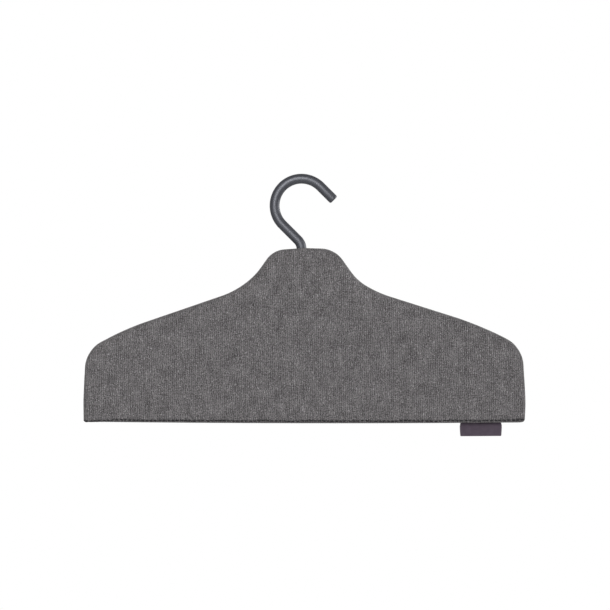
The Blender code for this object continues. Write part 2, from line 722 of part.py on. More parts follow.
def main():
    clear_scene()
    finishes = make_materials()
    swivel = bpy.data.objects.new("board_swivel", None)
    swivel.location = (0.0, 0.0, COVER_TOP_Z)
    bpy.context.scene.collection.objects.link(swivel)

    finish(make_hook(), finishes["painted_steel"])
    finish(make_washer(), finishes["zinc"], location=(0.0, 0.0, WASHER_Z))
    finish(make_clip(), finishes["spring_steel"], location=(0.0, 0.0, CLIP_Z))

    upper_seat = SOCKET_TOP_Z + FIT_GAP - COVER_TOP_Z
    lower_seat = SOCKET_BOTTOM_Z - FIT_GAP - COVER_TOP_Z
    finish(make_bush("upper_bush"), finishes["acetal"], swivel, (0.0, 0.0, upper_seat))
    lower = finish(make_bush("lower_bush"), finishes["acetal"], swivel, (0.0, 0.0, lower_seat))
    lower.rotation_euler = (math.pi, 0.0, 0.0)

    finish(make_front_shell(), finishes["moulded_plastic"], swivel)
    finish(make_rear_shell(), finishes["moulded_plastic"], swivel)
    screw = finish(make_screw(), finishes["zinc"])
    for number, (x, z) in enumerate(screw_places(), 1):
        copy = bpy.data.objects.new(f"shell_screw_{number}", screw.data)
        copy.parent = swivel
        copy.location = (x, HEAD_SEAT + FIT_GAP, z)
        copy.rotation_euler = (-math.pi / 2, 0.0, 0.0)
        bpy.context.scene.collection.objects.link(copy)
    bpy.data.objects.remove(screw, do_unlink=True)

    finish(make_pad("front_pad", -1, TUCK_TOP_Z + FIT_GAP), finishes["foam"], swivel)
    finish(make_pad("rear_pad", 1, None), finishes["foam"], swivel)
    finish(make_cover_front(), finishes["cloth"], swivel)
    finish(make_tray("cover_rear", 1), finishes["cloth"], swivel)
    finish(make_tuck_flap(), finishes["cloth"], swivel)
    finish(make_label(), finishes["ribbon"], swivel)


main()
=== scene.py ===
# %% [markdown]
# # A steaming hanger in its fitted cloth cover
#
# The real object is a hanger that clothes are steamed on: a flat board, padded on both faces, in a fitted
# cover of speckled grey cloth, which turns under a bent and painted rod. Its solids are already made and
# packed. This lesson loads them as a fixed frame, and makes what the eye meets round them: the rod, the
# cloth with its seam, hem and mouth, the ribbon, the finishes and the studio.

import math
from contextlib import contextmanager

import bmesh
import bpy
import numpy as np
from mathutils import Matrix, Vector


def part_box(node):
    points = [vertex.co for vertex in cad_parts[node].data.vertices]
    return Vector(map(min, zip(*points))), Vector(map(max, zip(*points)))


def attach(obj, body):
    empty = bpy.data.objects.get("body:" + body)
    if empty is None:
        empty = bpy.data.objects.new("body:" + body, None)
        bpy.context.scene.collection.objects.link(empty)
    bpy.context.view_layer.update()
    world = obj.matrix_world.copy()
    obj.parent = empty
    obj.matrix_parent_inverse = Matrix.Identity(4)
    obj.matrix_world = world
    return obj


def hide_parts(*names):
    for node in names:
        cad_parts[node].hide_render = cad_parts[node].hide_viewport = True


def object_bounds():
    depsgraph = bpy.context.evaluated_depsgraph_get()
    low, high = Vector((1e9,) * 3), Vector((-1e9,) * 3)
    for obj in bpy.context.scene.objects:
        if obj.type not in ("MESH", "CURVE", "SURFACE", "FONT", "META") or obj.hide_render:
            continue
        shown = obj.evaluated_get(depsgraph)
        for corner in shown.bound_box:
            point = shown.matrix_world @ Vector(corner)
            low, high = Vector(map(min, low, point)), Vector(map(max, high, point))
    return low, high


MM = 0.001
TOUCHING = 1e-6
CLEARANCE = 0.3 * MM
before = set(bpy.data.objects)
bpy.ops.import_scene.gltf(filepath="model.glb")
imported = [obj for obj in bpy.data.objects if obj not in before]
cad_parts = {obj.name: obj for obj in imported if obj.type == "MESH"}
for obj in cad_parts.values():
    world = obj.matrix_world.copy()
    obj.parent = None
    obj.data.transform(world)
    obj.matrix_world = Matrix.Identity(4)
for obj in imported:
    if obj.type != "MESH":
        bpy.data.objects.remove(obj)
cad_low, cad_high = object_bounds()
print("CAD box in mm:", [round(side / MM, 1) for side in cad_high - cad_low])

# %% [markdown]
# ## Places that the rest is hung from
#
# These places come from the boxes of the packed nodes, so that cloth, rod and ribbon stay where the solids
# are. The front faces -Y, the hook's stem is the Z axis, and the origin is the inside of the hook's crown.
# On the real hanger the cover has slipped a little to the right of the stem, and so it does here. The seam,
# full of its own allowance, stands a touch above the solid's top.

# %% Read the places
cover_low, cover_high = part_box("cover_rear")
front_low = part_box("cover_front")[0]
HALF_WIDTH = cover_high.x
HALF_DEPTH = cover_high.y
SEAM_FULLNESS = 0.13 * MM
TOP_Z = round(cover_high.z, 5) + SEAM_FULLNESS
BOTTOM_Z = cover_low.z
HEIGHT = TOP_Z - BOTTOM_Z
HEM_Z = front_low.z
COVER_SLIP = 2.75 * MM
print("cover in mm:", round(2 * HALF_WIDTH / MM, 1), "wide,", round(HEIGHT / MM, 1), "high")

# %% [markdown]
# ## Working as by hand
#
# Blender's operators act on whatever is selected, as they do under a modeller's hand. The first helpers
# select one object, open it in edit mode and pick a few of its vertices, edges or faces by their place. The
# others name a finished piece, use up a modifier on it and smooth its shading.


# %% Select, edit and pick
def choose(obj):
    """Selects this object alone and makes it the active one."""
    bpy.ops.object.select_all(action="DESELECT")
    obj.select_set(True)
    bpy.context.view_layer.objects.active = obj


@contextmanager
def editing(obj, mode="VERT"):
    """Edit mode on one object, starting with nothing selected."""
    choose(obj)
    bpy.ops.object.mode_set(mode="EDIT")
    bpy.ops.mesh.select_mode(type=mode)
    bpy.ops.mesh.select_all(action="DESELECT")
    yield
    bpy.ops.object.mode_set(mode="OBJECT")


def pick(obj, kind, test):
    """Selects the verts, edges or faces that pass the test, and nothing else."""
    bpy.ops.mesh.select_all(action="DESELECT")
    mesh = bmesh.from_edit_mesh(obj.data)
    found = [item for item in getattr(mesh, kind) if test(item)]
    for item in found:
        item.select_set(True)
    mesh.select_flush_mode()
    bmesh.update_edit_mesh(obj.data)
    return len(found)


def extrude(x=0.0, y=0.0, z=0.0):
    """Extrudes what is selected, and moves the new part by x, y and z."""
    bpy.ops.mesh.extrude_region_move(TRANSFORM_OT_translate={"value": (x, y, z)})


print("nodes of the frame to work round:", len(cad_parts))


# %% Name, modify and smooth
def settle(name):
    """Names the new primitive and applies its place, so that its object sits at the origin."""
    obj = bpy.context.object
    obj.name = obj.data.name = name
    bpy.ops.object.transform_apply(location=True, rotation=True, scale=True)
    return obj


def use_modifier(obj, kind, **settings):
    """Adds one modifier and applies it."""
    choose(obj)
    modifier = obj.modifiers.new(kind.lower(), kind)
    for name, value in settings.items():
        setattr(modifier, name, value)
    bpy.ops.object.modifier_apply(modifier=modifier.name)


def smooth(obj, degrees=40.0):
    """Shades an object smooth, except where its faces meet at more than this angle."""
    choose(obj)
    bpy.ops.object.shade_smooth_by_angle(angle=math.radians(degrees))


def report(obj):
    """Prints how large a piece's mesh is."""
    print(f"{obj.name}: {len(obj.data.vertices)} vertices, {len(obj.data.polygons)} faces")


print("gap kept between neighbours, in mm:", CLEARANCE / MM)

# %% [markdown]
# ## The camera
#
# The photograph looks straight at the front through a long lens, so hardly any side shows. A pixel of it is
# 1.02 mm on the plane of the hook. The lens is chosen so that 610 of those fill the frame from 3.2 m away.

# %% Set up the camera
PHOTO_SIDE_PX = 610
PIXEL = 1.0202 * MM
STEM_PX = 301.5
CROWN_INSIDE_PX = 183.08
CAMERA_DISTANCE = 3.2
SENSOR = 36.0
UPRIGHT = (math.radians(90.0), 0.0, 0.0)

view_x = (PHOTO_SIDE_PX / 2 - STEM_PX) * PIXEL
view_z = (CROWN_INSIDE_PX - PHOTO_SIDE_PX / 2) * PIXEL
camera_data = bpy.data.cameras.new("camera")
camera_data.sensor_width = SENSOR
camera_data.lens = SENSOR * CAMERA_DISTANCE / (PHOTO_SIDE_PX * PIXEL)
camera = bpy.data.objects.new("camera", camera_data)
camera.location = (view_x, -CAMERA_DISTANCE, view_z)
camera.rotation_euler = UPRIGHT
bpy.context.scene.collection.objects.link(camera)
bpy.context.scene.camera = camera
bpy.context.scene.view_settings.view_transform = "Standard"
print("lens:", round(camera_data.lens, 1), "mm")

# %% [markdown]
# ## The studio
#
# The picture has a white background and broad light from the front, a little above and to the left. A white
# backdrop would be struck by the board as it turns, so the white is in the world instead: for the rays that
# look at it, and for those that mirror what lies behind the object. All other rays find a dimmer grey
# there.

# %% Whiten the world
WHITE = (1.0, 1.0, 1.0, 1.0)
WORLD_FILL = 0.2
MIRRORED_FILL = 0.12
BACKDROP_EDGE = 0.5
world = bpy.data.worlds.new("studio")
bpy.context.scene.world = world
world.use_nodes = True
nodes, links = world.node_tree.nodes, world.node_tree.links
rays = nodes.new("ShaderNodeLightPath").outputs


def world_maths(operation, first, second):
    """One Math node of the world, on two outputs."""
    added = nodes.new("ShaderNodeMath")
    added.operation = operation
    links.new(first, added.inputs[0])
    links.new(second, added.inputs[1])
    return added.outputs[0]


direction = nodes.new("ShaderNodeSeparateXYZ")
links.new(nodes.new("ShaderNodeTexCoord").outputs["Generated"], direction.inputs[0])
backdrop = nodes.new("ShaderNodeMapRange")
backdrop.inputs["From Min"].default_value = BACKDROP_EDGE
backdrop.inputs["To Min"].default_value = MIRRORED_FILL
links.new(direction.outputs["Y"], backdrop.inputs["Value"])
mirrored = world_maths("MULTIPLY", rays["Is Glossy Ray"], backdrop.outputs[0])
seen = world_maths("MAXIMUM", rays["Is Camera Ray"], rays["Is Transmission Ray"])
strength = nodes.new("ShaderNodeMapRange")
strength.inputs["To Min"].default_value = WORLD_FILL
links.new(world_maths("MAXIMUM", seen, mirrored), strength.inputs["Value"])
background = nodes["Background"]
background.inputs["Color"].default_value = WHITE
links.new(strength.outputs["Result"], background.inputs["Strength"])
print("nodes in the world:", len(nodes))

# %% [markdown]
# ## The lamps
#
# Three broad lamps give soft light, as softboxes do. One lights the front from a little above and to the
# left, one grazes the right edge, and one lights the back. The last is left out of mirrored light, as its
# glare on the rod's rim would make that edge look ragged.


# %% Hang the lamps
def softbox(name, place, width, height, watts):
    """A rectangular lamp that faces the middle of the board."""
    data = bpy.data.lights.new(name, "AREA")
    data.shape = "RECTANGLE"
    data.size, data.size_y = width, height
    data.energy = watts
    lamp = bpy.data.objects.new(name, data)
    lamp.location = place
    board_middle = Vector((0.0, 0.0, (TOP_Z + BOTTOM_Z) / 2))
    lamp.rotation_euler = (board_middle - lamp.location).to_track_quat("-Z", "Y").to_euler()
    bpy.context.scene.collection.objects.link(lamp)
    return lamp


softbox("key_light", place=(-0.25, -2.4, 0.6), width=1.15, height=1.3, watts=47.5)
softbox("side_light", place=(2.55, 0.5, 0.2), width=1.0, height=1.0, watts=27.0)
rear_light = softbox("rear_light", place=(0.5, 2.5, 0.7), width=1.3, height=1.1, watts=48.0)
rear_light.visible_glossy = False
print("lamps:", [light.name for light in bpy.data.lights])

# %% [markdown]
# ## The floor
#
# The hanger hangs, so the floor is only there for the views from above. It is a thin round slab, well below
# the board: a disc whose rim is extruded down.

# %% Lay the floor
FLOOR_Z = -0.9
FLOOR_RADIUS = 2.4
FLOOR_DEPTH = 0.02
bpy.ops.object.select_all(action="DESELECT")
bpy.ops.mesh.primitive_circle_add(
    vertices=96, radius=FLOOR_RADIUS, fill_type="NGON", location=(0.0, 0.0, FLOOR_Z)
)
floor = settle("floor")
with editing(floor, "EDGE"):
    pick(floor, "edges", lambda edge: True)
    extrude(z=-FLOOR_DEPTH)
report(floor)

# %% [markdown]
# ## Writing finishes
#
# A finish is a small program of nodes. The two classes below let it be written as ordinary sums: a `Signal`
# is what comes out of a node, and an expression on signals adds its Math nodes. Every other node comes from
# `Finish.node`.


# %% Signals, which take part in sums
class Signal:
    """A node's output, which takes part in sums as a number does."""

    def __init__(self, finish, socket):
        self.finish = finish
        self.socket = socket

    def maths(self, operation, first, second=0.0):
        """Adds one Math node, on signals or numbers."""
        return self.finish.node("ShaderNodeMath", {"operation": operation}, {0: first, 1: second})

    def __add__(self, other):
        return self.maths("ADD", self, other)

    def __sub__(self, other):
        return self.maths("SUBTRACT", self, other)

    def __rsub__(self, other):
        return self.maths("SUBTRACT", other, self)

    def __mul__(self, other):
        return self.maths("MULTIPLY", self, other)

    def __truediv__(self, other):
        return self.maths("DIVIDE", self, other)

    def __gt__(self, other):
        return self.maths("GREATER_THAN", self, other)

    def __pow__(self, other):
        return self.maths("POWER", self, other)

    __radd__ = __add__
    __rmul__ = __mul__

    def floor(self):
        return self.maths("FLOOR", self)

    def fraction(self):
        return self.maths("FRACT", self)

    def sine(self):
        return self.maths("SINE", self)

    def size(self):
        return self.maths("ABSOLUTE", self)

    def between(self, low, high):
        """0 below low and 1 above high, with a soft step from one to the other."""
        return self.finish.node(
            "ShaderNodeMapRange", {"interpolation_type": "SMOOTHSTEP"},
            {"Value": self, "From Min": low, "From Max": high},
        )


print("a signal can:", [name for name in vars(Signal) if not name.startswith("_")])


# %% Finishes, which add nodes
class Finish:
    """One material, and the methods that add nodes to it."""

    def __init__(self, name, **constants):
        self.material = bpy.data.materials.new(name)
        self.material.use_nodes = True
        self.tree = self.material.node_tree
        self.shader = self.tree.nodes["Principled BSDF"]
        for socket, value in constants.items():
            self.shader.inputs[socket.replace("_", " ")].default_value = value

    def node(self, kind, settings=None, inputs=None, output=0):
        """Adds a node: its settings first, then a value or a signal for each socket that is named."""
        added = self.tree.nodes.new(kind)
        for name, value in (settings or {}).items():
            setattr(added, name, value)
        for name, value in (inputs or {}).items():
            if isinstance(value, Signal):
                self.tree.links.new(value.socket, added.inputs[name])
            else:
                added.inputs[name].default_value = value
        return Signal(self, added.outputs[output])

    def feed(self, socket, signal):
        """Links a signal to one of the shader's own sockets."""
        self.tree.links.new(signal.socket, self.shader.inputs[socket])

    def place(self):
        """Object coordinates, which are the part's own metres on a piece that sits at the origin."""
        return self.node("ShaderNodeTexCoord", output="Object")

    def along(self, vector):
        """The three parts of a vector."""
        parts = self.node("ShaderNodeSeparateXYZ", inputs={0: vector})
        sockets = parts.socket.node.outputs
        return [Signal(self, socket) for socket in sockets]

    def vector(self, x, y, z=0.0):
        """A vector from its three parts."""
        return self.node("ShaderNodeCombineXYZ", inputs={0: x, 1: y, 2: z})

    def noise(self, vector, scale, detail=2.0, roughness=0.5):
        """Smooth noise about 0.5, one grain for every 1 / scale metres."""
        inputs = {"Vector": vector, "Scale": scale, "Detail": detail, "Roughness": roughness}
        return self.node("ShaderNodeTexNoise", inputs=inputs)

    def mix(self, factor, first, second):
        """Two colours, mixed."""
        settings = {"data_type": "RGBA", "clamp_factor": True}
        return self.node("ShaderNodeMix", settings, {0: factor, 6: first, 7: second}, output=2)

    def bump(self, height, depth, strength=1.0):
        """Tilts the surface as if it had this height, times a depth in metres."""
        inputs = {"Height": height, "Distance": depth, "Strength": strength}
        self.feed("Normal", self.node("ShaderNodeBump", inputs=inputs))


def grey(red, green, blue):
    """A colour as it is written in a picture, 0 to 255, as the linear one that a shader takes."""
    linear = [((c / 255 + 0.055) / 1.055) ** 2.4 for c in (red, green, blue)]
    return (*linear, 1.0)


print("a finish can:", [name for name in vars(Finish) if not name.startswith("_")])

# %% [markdown]
# ## The cloth's finish
#
# The cloth is a plain weave of speckled yarn: light and dark fibres spun together, with thicker slubs along
# it both ways. The pattern is written on the flat cloth, in metres, before it was sewn: each panel carries
# that place in an attribute, so that the yarns follow it round the edge. Each yarn has a number, and the
# number picks a stretch of noise of its own, so that the tone changes along a yarn and not from one yarn
# into the next. In the sums, the number that a pattern is multiplied by is how strongly it shows.

# %% Spin the yarn
YARN_PITCH = 0.53 * MM
STRIPE_YARNS = 4
FLECK_LENGTH = 1.3 * MM
SLUB_LENGTH = 14.0 * MM
FIBRE_LENGTH = 1.1 * MM
DRIFT_LENGTH = 9.0 * MM
STRIPE_WANDER = 9.0
CLOUD_WIDTH, CLOUD_HEIGHT = 9.0 * MM, 17.0 * MM


def tone_of_warp(cloth, number, up, drift):
    """The yarns that run up the cloth: flecks, slubs and a faint stripe."""
    flecks = cloth.noise(cloth.vector(number * 7.31, up / FLECK_LENGTH), 1.0, 2.0, 0.7)
    slubs = cloth.noise(cloth.vector(number * 3.17, up / SLUB_LENGTH, 5.0), 1.0, 1.0)
    stripe = (number * (math.tau / STRIPE_YARNS) + drift * STRIPE_WANDER).sine()
    return (flecks - 0.5) * 4.6 + (slubs - 0.5) * 1.1 + stripe * 0.4


def tone_of_weft(cloth, number, across):
    """The yarns that run across the cloth, which are a little darker."""
    flecks = cloth.noise(cloth.vector(across / FLECK_LENGTH, number * 5.17, 9.0), 1.0, 2.0, 0.7)
    slubs = cloth.noise(cloth.vector(across / SLUB_LENGTH, number * 2.83, 13.0), 1.0, 1.0)
    return (flecks - 0.5) * 3.4 + (slubs - 0.5) * 2.8 - 0.06


def tone_of_fibres(cloth, flat, across, up, warp_number):
    """What lies over both: short fibres, soft clouds, and the odd light end of a fibre."""
    fibres = cloth.noise(flat, 1 / FIBRE_LENGTH, 1.0)
    clouds = cloth.noise(cloth.vector(across / CLOUD_WIDTH, up / CLOUD_HEIGHT), 1.0, 3.0, 0.75)
    ends = cloth.noise(cloth.vector(warp_number * 5.9, up / FLECK_LENGTH, 3.0), 0.8, 0.0)
    light_ends = ends.between(0.68, 0.8)
    return fibres, (fibres - 0.5) * 2.2 + (clouds - 0.5) * 1.4 + light_ends * 1.2


print("yarns per cm:", round(10 * MM / YARN_PITCH, 1))

# %% Weave the cloth
FLAT = "flat"
WEAVE_DEPTH = 0.12 * MM


def make_cloth():
    """A plain weave: warp and weft take turns on top, each with its own tone and its own round back."""
    cloth = Finish("melange_cloth", Roughness=0.92, Sheen_Weight=0.12, Sheen_Roughness=0.5)
    flat = cloth.node("ShaderNodeAttribute", {"attribute_name": FLAT}, output="Vector")
    across, up, _ = cloth.along(flat)
    warp, weft = across / YARN_PITCH, up / YARN_PITCH
    warp_number, weft_number = warp.floor(), weft.floor()
    weft_on_top = ((warp_number + weft_number) * 0.5).fraction() > 0.25
    warp_tone = tone_of_warp(cloth, warp_number, up, cloth.noise(flat, 1 / DRIFT_LENGTH, 1.0))
    weft_tone = tone_of_weft(cloth, weft_number, across)
    fibres, fibre_tone = tone_of_fibres(cloth, flat, across, up, warp_number)
    tone = 0.5 + warp_tone + (weft_tone - warp_tone) * weft_on_top * 0.5 + fibre_tone
    warp_round = (warp.fraction() * math.pi).sine()
    weft_round = (weft.fraction() * math.pi).sine()
    round_yarn = warp_round + (weft_round - warp_round) * weft_on_top
    # Between the yarns the colour is darkened toward shade: painted shade in the hollows of the weave.
    gaps = round_yarn.between(0.0, 0.55)
    dark, light, shade = grey(39, 37, 37), grey(188, 184, 186), grey(36, 34, 35)
    colour = cloth.mix(tone.between(-1.45, 3.1) ** 1.6, dark, light)
    cloth.feed("Base Color", cloth.mix(0.72 + gaps * 0.28, shade, colour))
    cloth.bump(round_yarn + fibres * 0.5, WEAVE_DEPTH, 0.5)
    return cloth.material


CLOTH = make_cloth()
print("finish:", CLOTH.name)

# %% [markdown]
# ## The rod's finish
#
# The rod has a satin coat of paint, baked on, with a very fine grain. Paint isn't metal to a shader, even
# on steel, so it stays non-metallic. The grain is small enough that it mostly widens the highlight.

# %% Paint the rod
PAINT_GRAIN = 0.35 * MM
PAINT_DRIFT = 9.0 * MM
GRAIN_DEPTH = 0.01 * MM


def make_paint():
    """A dark coat, a little bluer where it shines, that drifts slightly in colour and in gloss."""
    paint = Finish("satin_paint", IOR=1.6, Specular_IOR_Level=1.0, Specular_Tint=(0.9, 0.92, 1.0, 1.0))
    place = paint.place()
    grain = paint.noise(place, 1 / PAINT_GRAIN, 3.0)
    drift = paint.noise(place, 1 / PAINT_DRIFT, 2.0)
    darker, lighter = grey(43, 44, 50), grey(48, 49, 55)
    paint.feed("Base Color", paint.mix(drift.between(0.3, 0.7), darker, lighter))
    paint.feed("Roughness", 0.49 + (drift - 0.5) * 0.1)
    paint.bump(grain, GRAIN_DEPTH, 0.1)
    return paint.material


PAINT = make_paint()
print("finish:", PAINT.name)

# %% [markdown]
# ## Plain finishes
#
# The parts inside the cover are seen only by someone who takes it apart, but they need finishes too:
# moulded plastic, smooth bushes, plated screws, an oiled clip and felt. Each is a colour that drifts a
# little, with a grain, so one function makes them all, and the sewing thread as well.

# %% Finish the parts inside
DRIFT_IN_GRAINS = 24


def make_plain(name, tones, grain_size, roughness, depth, **constants):
    """A colour that drifts between two tones, with a grain of a given size and depth."""
    plain = Finish(name, **constants)
    place = plain.place()
    grain = plain.noise(place, 1 / grain_size, 3.0)
    drift = plain.noise(place, 1 / (DRIFT_IN_GRAINS * grain_size), 2.0)
    plain.feed("Base Color", plain.mix(drift.between(0.3, 0.7), *tones))
    plain.feed("Roughness", roughness + (grain - 0.5) * 0.2)
    plain.bump(grain, depth, 0.5)
    return plain.material


def give(material, *names):
    """Puts a material on nodes of the frame."""
    for name in names:
        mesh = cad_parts[name].data
        mesh.materials.clear()
        mesh.materials.append(material)


MOULDING = make_plain(
    "grained_moulding", (grey(90, 90, 92), grey(96, 96, 98)), 0.6 * MM, 0.55, 0.05 * MM
)
SMOOTH_BUSH = make_plain(
    "smooth_bush", (grey(219, 217, 211), grey(224, 222, 217)), 0.8 * MM, 0.35, 0.01 * MM
)
PLATING = make_plain(
    "zinc_plating", (grey(190, 192, 195), grey(199, 201, 204)), 0.15 * MM, 0.35, 0.01 * MM, Metallic=1.0
)
OILED_STEEL = make_plain(
    "oiled_steel", (grey(126, 123, 120), grey(134, 131, 127)), 0.2 * MM, 0.3, 0.01 * MM, Metallic=1.0
)
FELT = make_plain("needled_felt", (grey(200, 197, 189), grey(212, 209, 202)), 1.2 * MM, 0.95, 0.4 * MM)
# The thread's dark colour is partly its own and partly painted shade, for the groove in the mouth where the
# stitches lie.
THREAD_AND_GROOVE_SHADE = make_plain("dark_thread_and_groove_shade", (grey(28, 26, 29), grey(40, 38, 41)), 0.25 * MM, 0.8, 0.1 * MM)
give(MOULDING, "front_shell", "rear_shell")
give(SMOOTH_BUSH, "upper_bush", "lower_bush")
give(PLATING, "thrust_washer", *[f"shell_screw_{number}" for number in range(1, 11)])
give(OILED_STEEL, "retaining_clip")
plain_finishes = (MOULDING, SMOOTH_BUSH, PLATING, OILED_STEEL, FELT, THREAD_AND_GROOVE_SHADE)
print("plain finishes:", [finish.name for finish in plain_finishes])

# %% [markdown]
# ## The floor's finish
#
# The floor has to look as white as the world behind it, and still take the board's shadow. So its pale
# surface is mixed with a white glow that only the camera sees, and what is left of the surface shows the
# shadow.

# %% Finish the floor
GLOW_SHARE = 0.82


def make_floor():
    """A pale floor that the camera sees mostly as white."""
    pale = Finish("pale_floor", Roughness=0.9, Specular_IOR_Level=0.1)
    drift = pale.noise(pale.place(), 2.0, 1.0)
    pale.feed("Base Color", pale.mix(drift, grey(198, 198, 198), grey(202, 202, 202)))
    seen = pale.node("ShaderNodeLightPath", output="Is Camera Ray")
    glow = pale.node("ShaderNodeEmission", inputs={"Color": WHITE, "Strength": 1.0})
    lit = Signal(pale, pale.shader.outputs[0])
    mixed = pale.node("ShaderNodeMixShader", inputs={0: seen * GLOW_SHARE, 1: lit, 2: glow})
    pale.tree.links.new(mixed.socket, pale.tree.nodes["Material Output"].inputs["Surface"])
    return pale.material


floor.data.materials.append(make_floor())
print("finish:", floor.data.materials[0].name)

# %% [markdown]
# ## The bent rod
#
# The hook is one steel rod, bent round a former and turned down where it runs in the board. By hand it
# would be a ring of edges, drawn along the path: extruded on the straights and spun round the bends.
# Spinning keeps the section round, which a curve's bevel does only if its points are dense.

# %% Lay out the bends
ROD_RADIUS = 5.05 * MM
ROD_SIDES = 48
HOOK_INSIDE_RADIUS = 23.0 * MM
CROWN_RADIUS = cad_high.z + HOOK_INSIDE_RADIUS - ROD_RADIUS
CROWN_CENTRE = Vector((0.0, 0.0, -HOOK_INSIDE_RADIUS))
LEAN = math.radians(45.0)
TIP_RUN = 19.4 * MM
TIP_ROUND = 1.6 * MM
NECK_BEND_RADIUS = 13.2 * MM
CROWN_STEPS = 84
NECK_STEPS = 18

slant = Vector((math.cos(LEAN), 0.0, -math.sin(LEAN)))
crown_start = CROWN_CENTRE + CROWN_RADIUS * Vector((math.cos(LEAN), 0.0, math.sin(LEAN)))
crown_end = CROWN_CENTRE - (crown_start - CROWN_CENTRE)
tip = crown_start + slant * TIP_RUN
bend_run = NECK_BEND_RADIUS * math.tan(LEAN / 2)
bend_corner_z = CROWN_CENTRE.z - CROWN_RADIUS / math.sin(LEAN)
bend_start = Vector((0.0, 0.0, bend_corner_z)) - slant * bend_run
bend_end_z = bend_corner_z - bend_run
bend_centre = (-NECK_BEND_RADIUS, 0.0, bend_end_z)
print("the straight stem starts at z =", round(bend_end_z / MM, 1), "mm")

# %% Lay out the stem
SHOULDER_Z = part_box("upper_bush")[1].z + CLEARANCE
GROOVE_TOP_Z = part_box("retaining_clip")[1].z + CLEARANCE
GROOVE_BOTTOM_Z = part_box("retaining_clip")[0].z - CLEARANCE
STEM_END_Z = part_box("hook")[0].z
JOURNAL_RADIUS = 3.0 * MM
GROOVE_RADIUS = 2.3 * MM


def shrink_ring(share, z):
    """Extrudes the ring in place, narrows it, and so makes a flat shoulder."""
    extrude()
    bpy.ops.transform.resize(value=(share, share, 1.0), center_override=(0.0, 0.0, z))


def on_tip(vert):
    """Whether a vertex lies on the rod's cut end."""
    return abs((vert.co - tip).dot(slant)) < TOUCHING and (vert.co - tip).length < ROD_RADIUS + MM


print("the stem ends at z =", round(STEM_END_Z / MM, 1), "mm")

# %% Bend the rod
bpy.ops.object.select_all(action="DESELECT")
bpy.ops.mesh.primitive_circle_add(
    vertices=ROD_SIDES, radius=ROD_RADIUS, fill_type="NOTHING",
    location=tip, rotation=(0.0, math.radians(90.0) + LEAN, 0.0),
)
rod = settle("hook_rod")
with editing(rod):
    bpy.ops.mesh.select_all(action="SELECT")
    extrude(*(-slant * TIP_RUN))
    bpy.ops.mesh.spin(steps=CROWN_STEPS, angle=math.pi, center=CROWN_CENTRE, axis=(0.0, 1.0, 0.0))
    extrude(*(bend_start - crown_end))
    bpy.ops.mesh.spin(steps=NECK_STEPS, angle=-LEAN, center=bend_centre, axis=(0.0, 1.0, 0.0))
    extrude(z=SHOULDER_Z - bend_end_z)
    shrink_ring(JOURNAL_RADIUS / ROD_RADIUS, SHOULDER_Z)
    extrude(z=GROOVE_TOP_Z - SHOULDER_Z)
    shrink_ring(GROOVE_RADIUS / JOURNAL_RADIUS, GROOVE_TOP_Z)
    extrude(z=GROOVE_BOTTOM_Z - GROOVE_TOP_Z)
    shrink_ring(JOURNAL_RADIUS / GROOVE_RADIUS, GROOVE_BOTTOM_Z)
    extrude(z=STEM_END_Z - GROOVE_BOTTOM_Z)
    bpy.ops.mesh.edge_face_add()
    pick(rod, "verts", on_tip)
    bpy.ops.mesh.edge_face_add()
    bpy.ops.mesh.bevel(offset=TIP_ROUND, segments=4, affect="EDGES")
    bpy.ops.mesh.select_all(action="SELECT")
    bpy.ops.mesh.normals_make_consistent(inside=False)
report(rod)

# %% Hand the rod over
rod.data.materials.append(PAINT)
smooth(rod)
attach(rod, "hook")
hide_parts("hook")
print("radius of the rod in mm:", ROD_RADIUS / MM)

# %% [markdown]
# ## The cover's outline
#
# The cover is cut to one outline, front and back. By hand that is a ring of a few corners, each moved to
# its place and then rounded by a vertex bevel. The real cover isn't quite even: it sits a little to the
# right of the stem, and its right shoulder is the squarer of the two.

# %% Place the corners
# Down each side, each corner: its place across as a share of half the width, its place down as a share of the
# height, and its radius as a share of half the width
LEFT_CORNERS = (
    (0.1398, 0.0117, 0.0963),
    (0.2227, 0.1602, 0.2705),
    (0.3160, 0.2496, 0.3322),
    (0.7996, 0.4600, 1.0398),
    (0.9895, 0.5845, 0.1298),
    (1.0003, 0.8750, 0.5576),
    (0.9990, 1.0000, 0.0133),
)
RIGHT_CORNERS = (
    (0.1383, 0.0049, 0.1104),
    (0.2366, 0.1812, 0.2044),
    (0.3239, 0.2527, 0.4494),
    (0.7973, 0.4429, 1.3385),
    (0.9886, 0.5680, 0.1308),
    (1.0035, 0.8879, 0.6120),
    (0.9987, 1.0000, 0.0133),
)
NECK_CORNER = (0.0, 0.0, 0.25)


def at_corner(side, across, down, radius):
    """A corner's place and its radius: side is 1 on the right and -1 on the left."""
    place = Vector((side * across * HALF_WIDTH + COVER_SLIP, -HALF_DEPTH, TOP_Z - down * HEIGHT))
    return place, HALF_WIDTH * radius


down_left = [at_corner(-1, *corner) for corner in (NECK_CORNER, *LEFT_CORNERS)]
up_right = [at_corner(1, *corner) for corner in RIGHT_CORNERS[::-1]]
corners, radii = zip(*down_left, *up_right)
print("corners of the outline:", len(corners))

# %% Draw the outline
ARC_SEGMENTS = 9
bpy.ops.object.select_all(action="DESELECT")
bpy.ops.mesh.primitive_circle_add(
    vertices=len(corners), radius=HALF_WIDTH, fill_type="NGON", rotation=UPRIGHT
)
body = settle("cover_body")
with editing(body):
    for number, corner in enumerate(corners):
        pick(body, "verts", lambda vert: vert.index == number)
        place = bmesh.from_edit_mesh(body.data).verts[:][number].co
        bpy.ops.transform.translate(value=corner - place)
    for number, (corner, radius) in enumerate(zip(corners, radii)):
        before = corner - corners[number - 1]
        after = corners[(number + 1) % len(corners)] - corner
        run = radius * math.tan(before.angle(after) / 2)
        pick(body, "verts", lambda vert: (vert.co - corner).length < TOUCHING)
        bpy.ops.mesh.bevel(offset=run, segments=ARC_SEGMENTS, affect="VERTICES", clamp_overlap=False)
ring = [body.data.vertices[i].co for i in body.data.polygons[0].vertices]
outline = np.array([(place.x, place.z) for place in ring])
report(body)

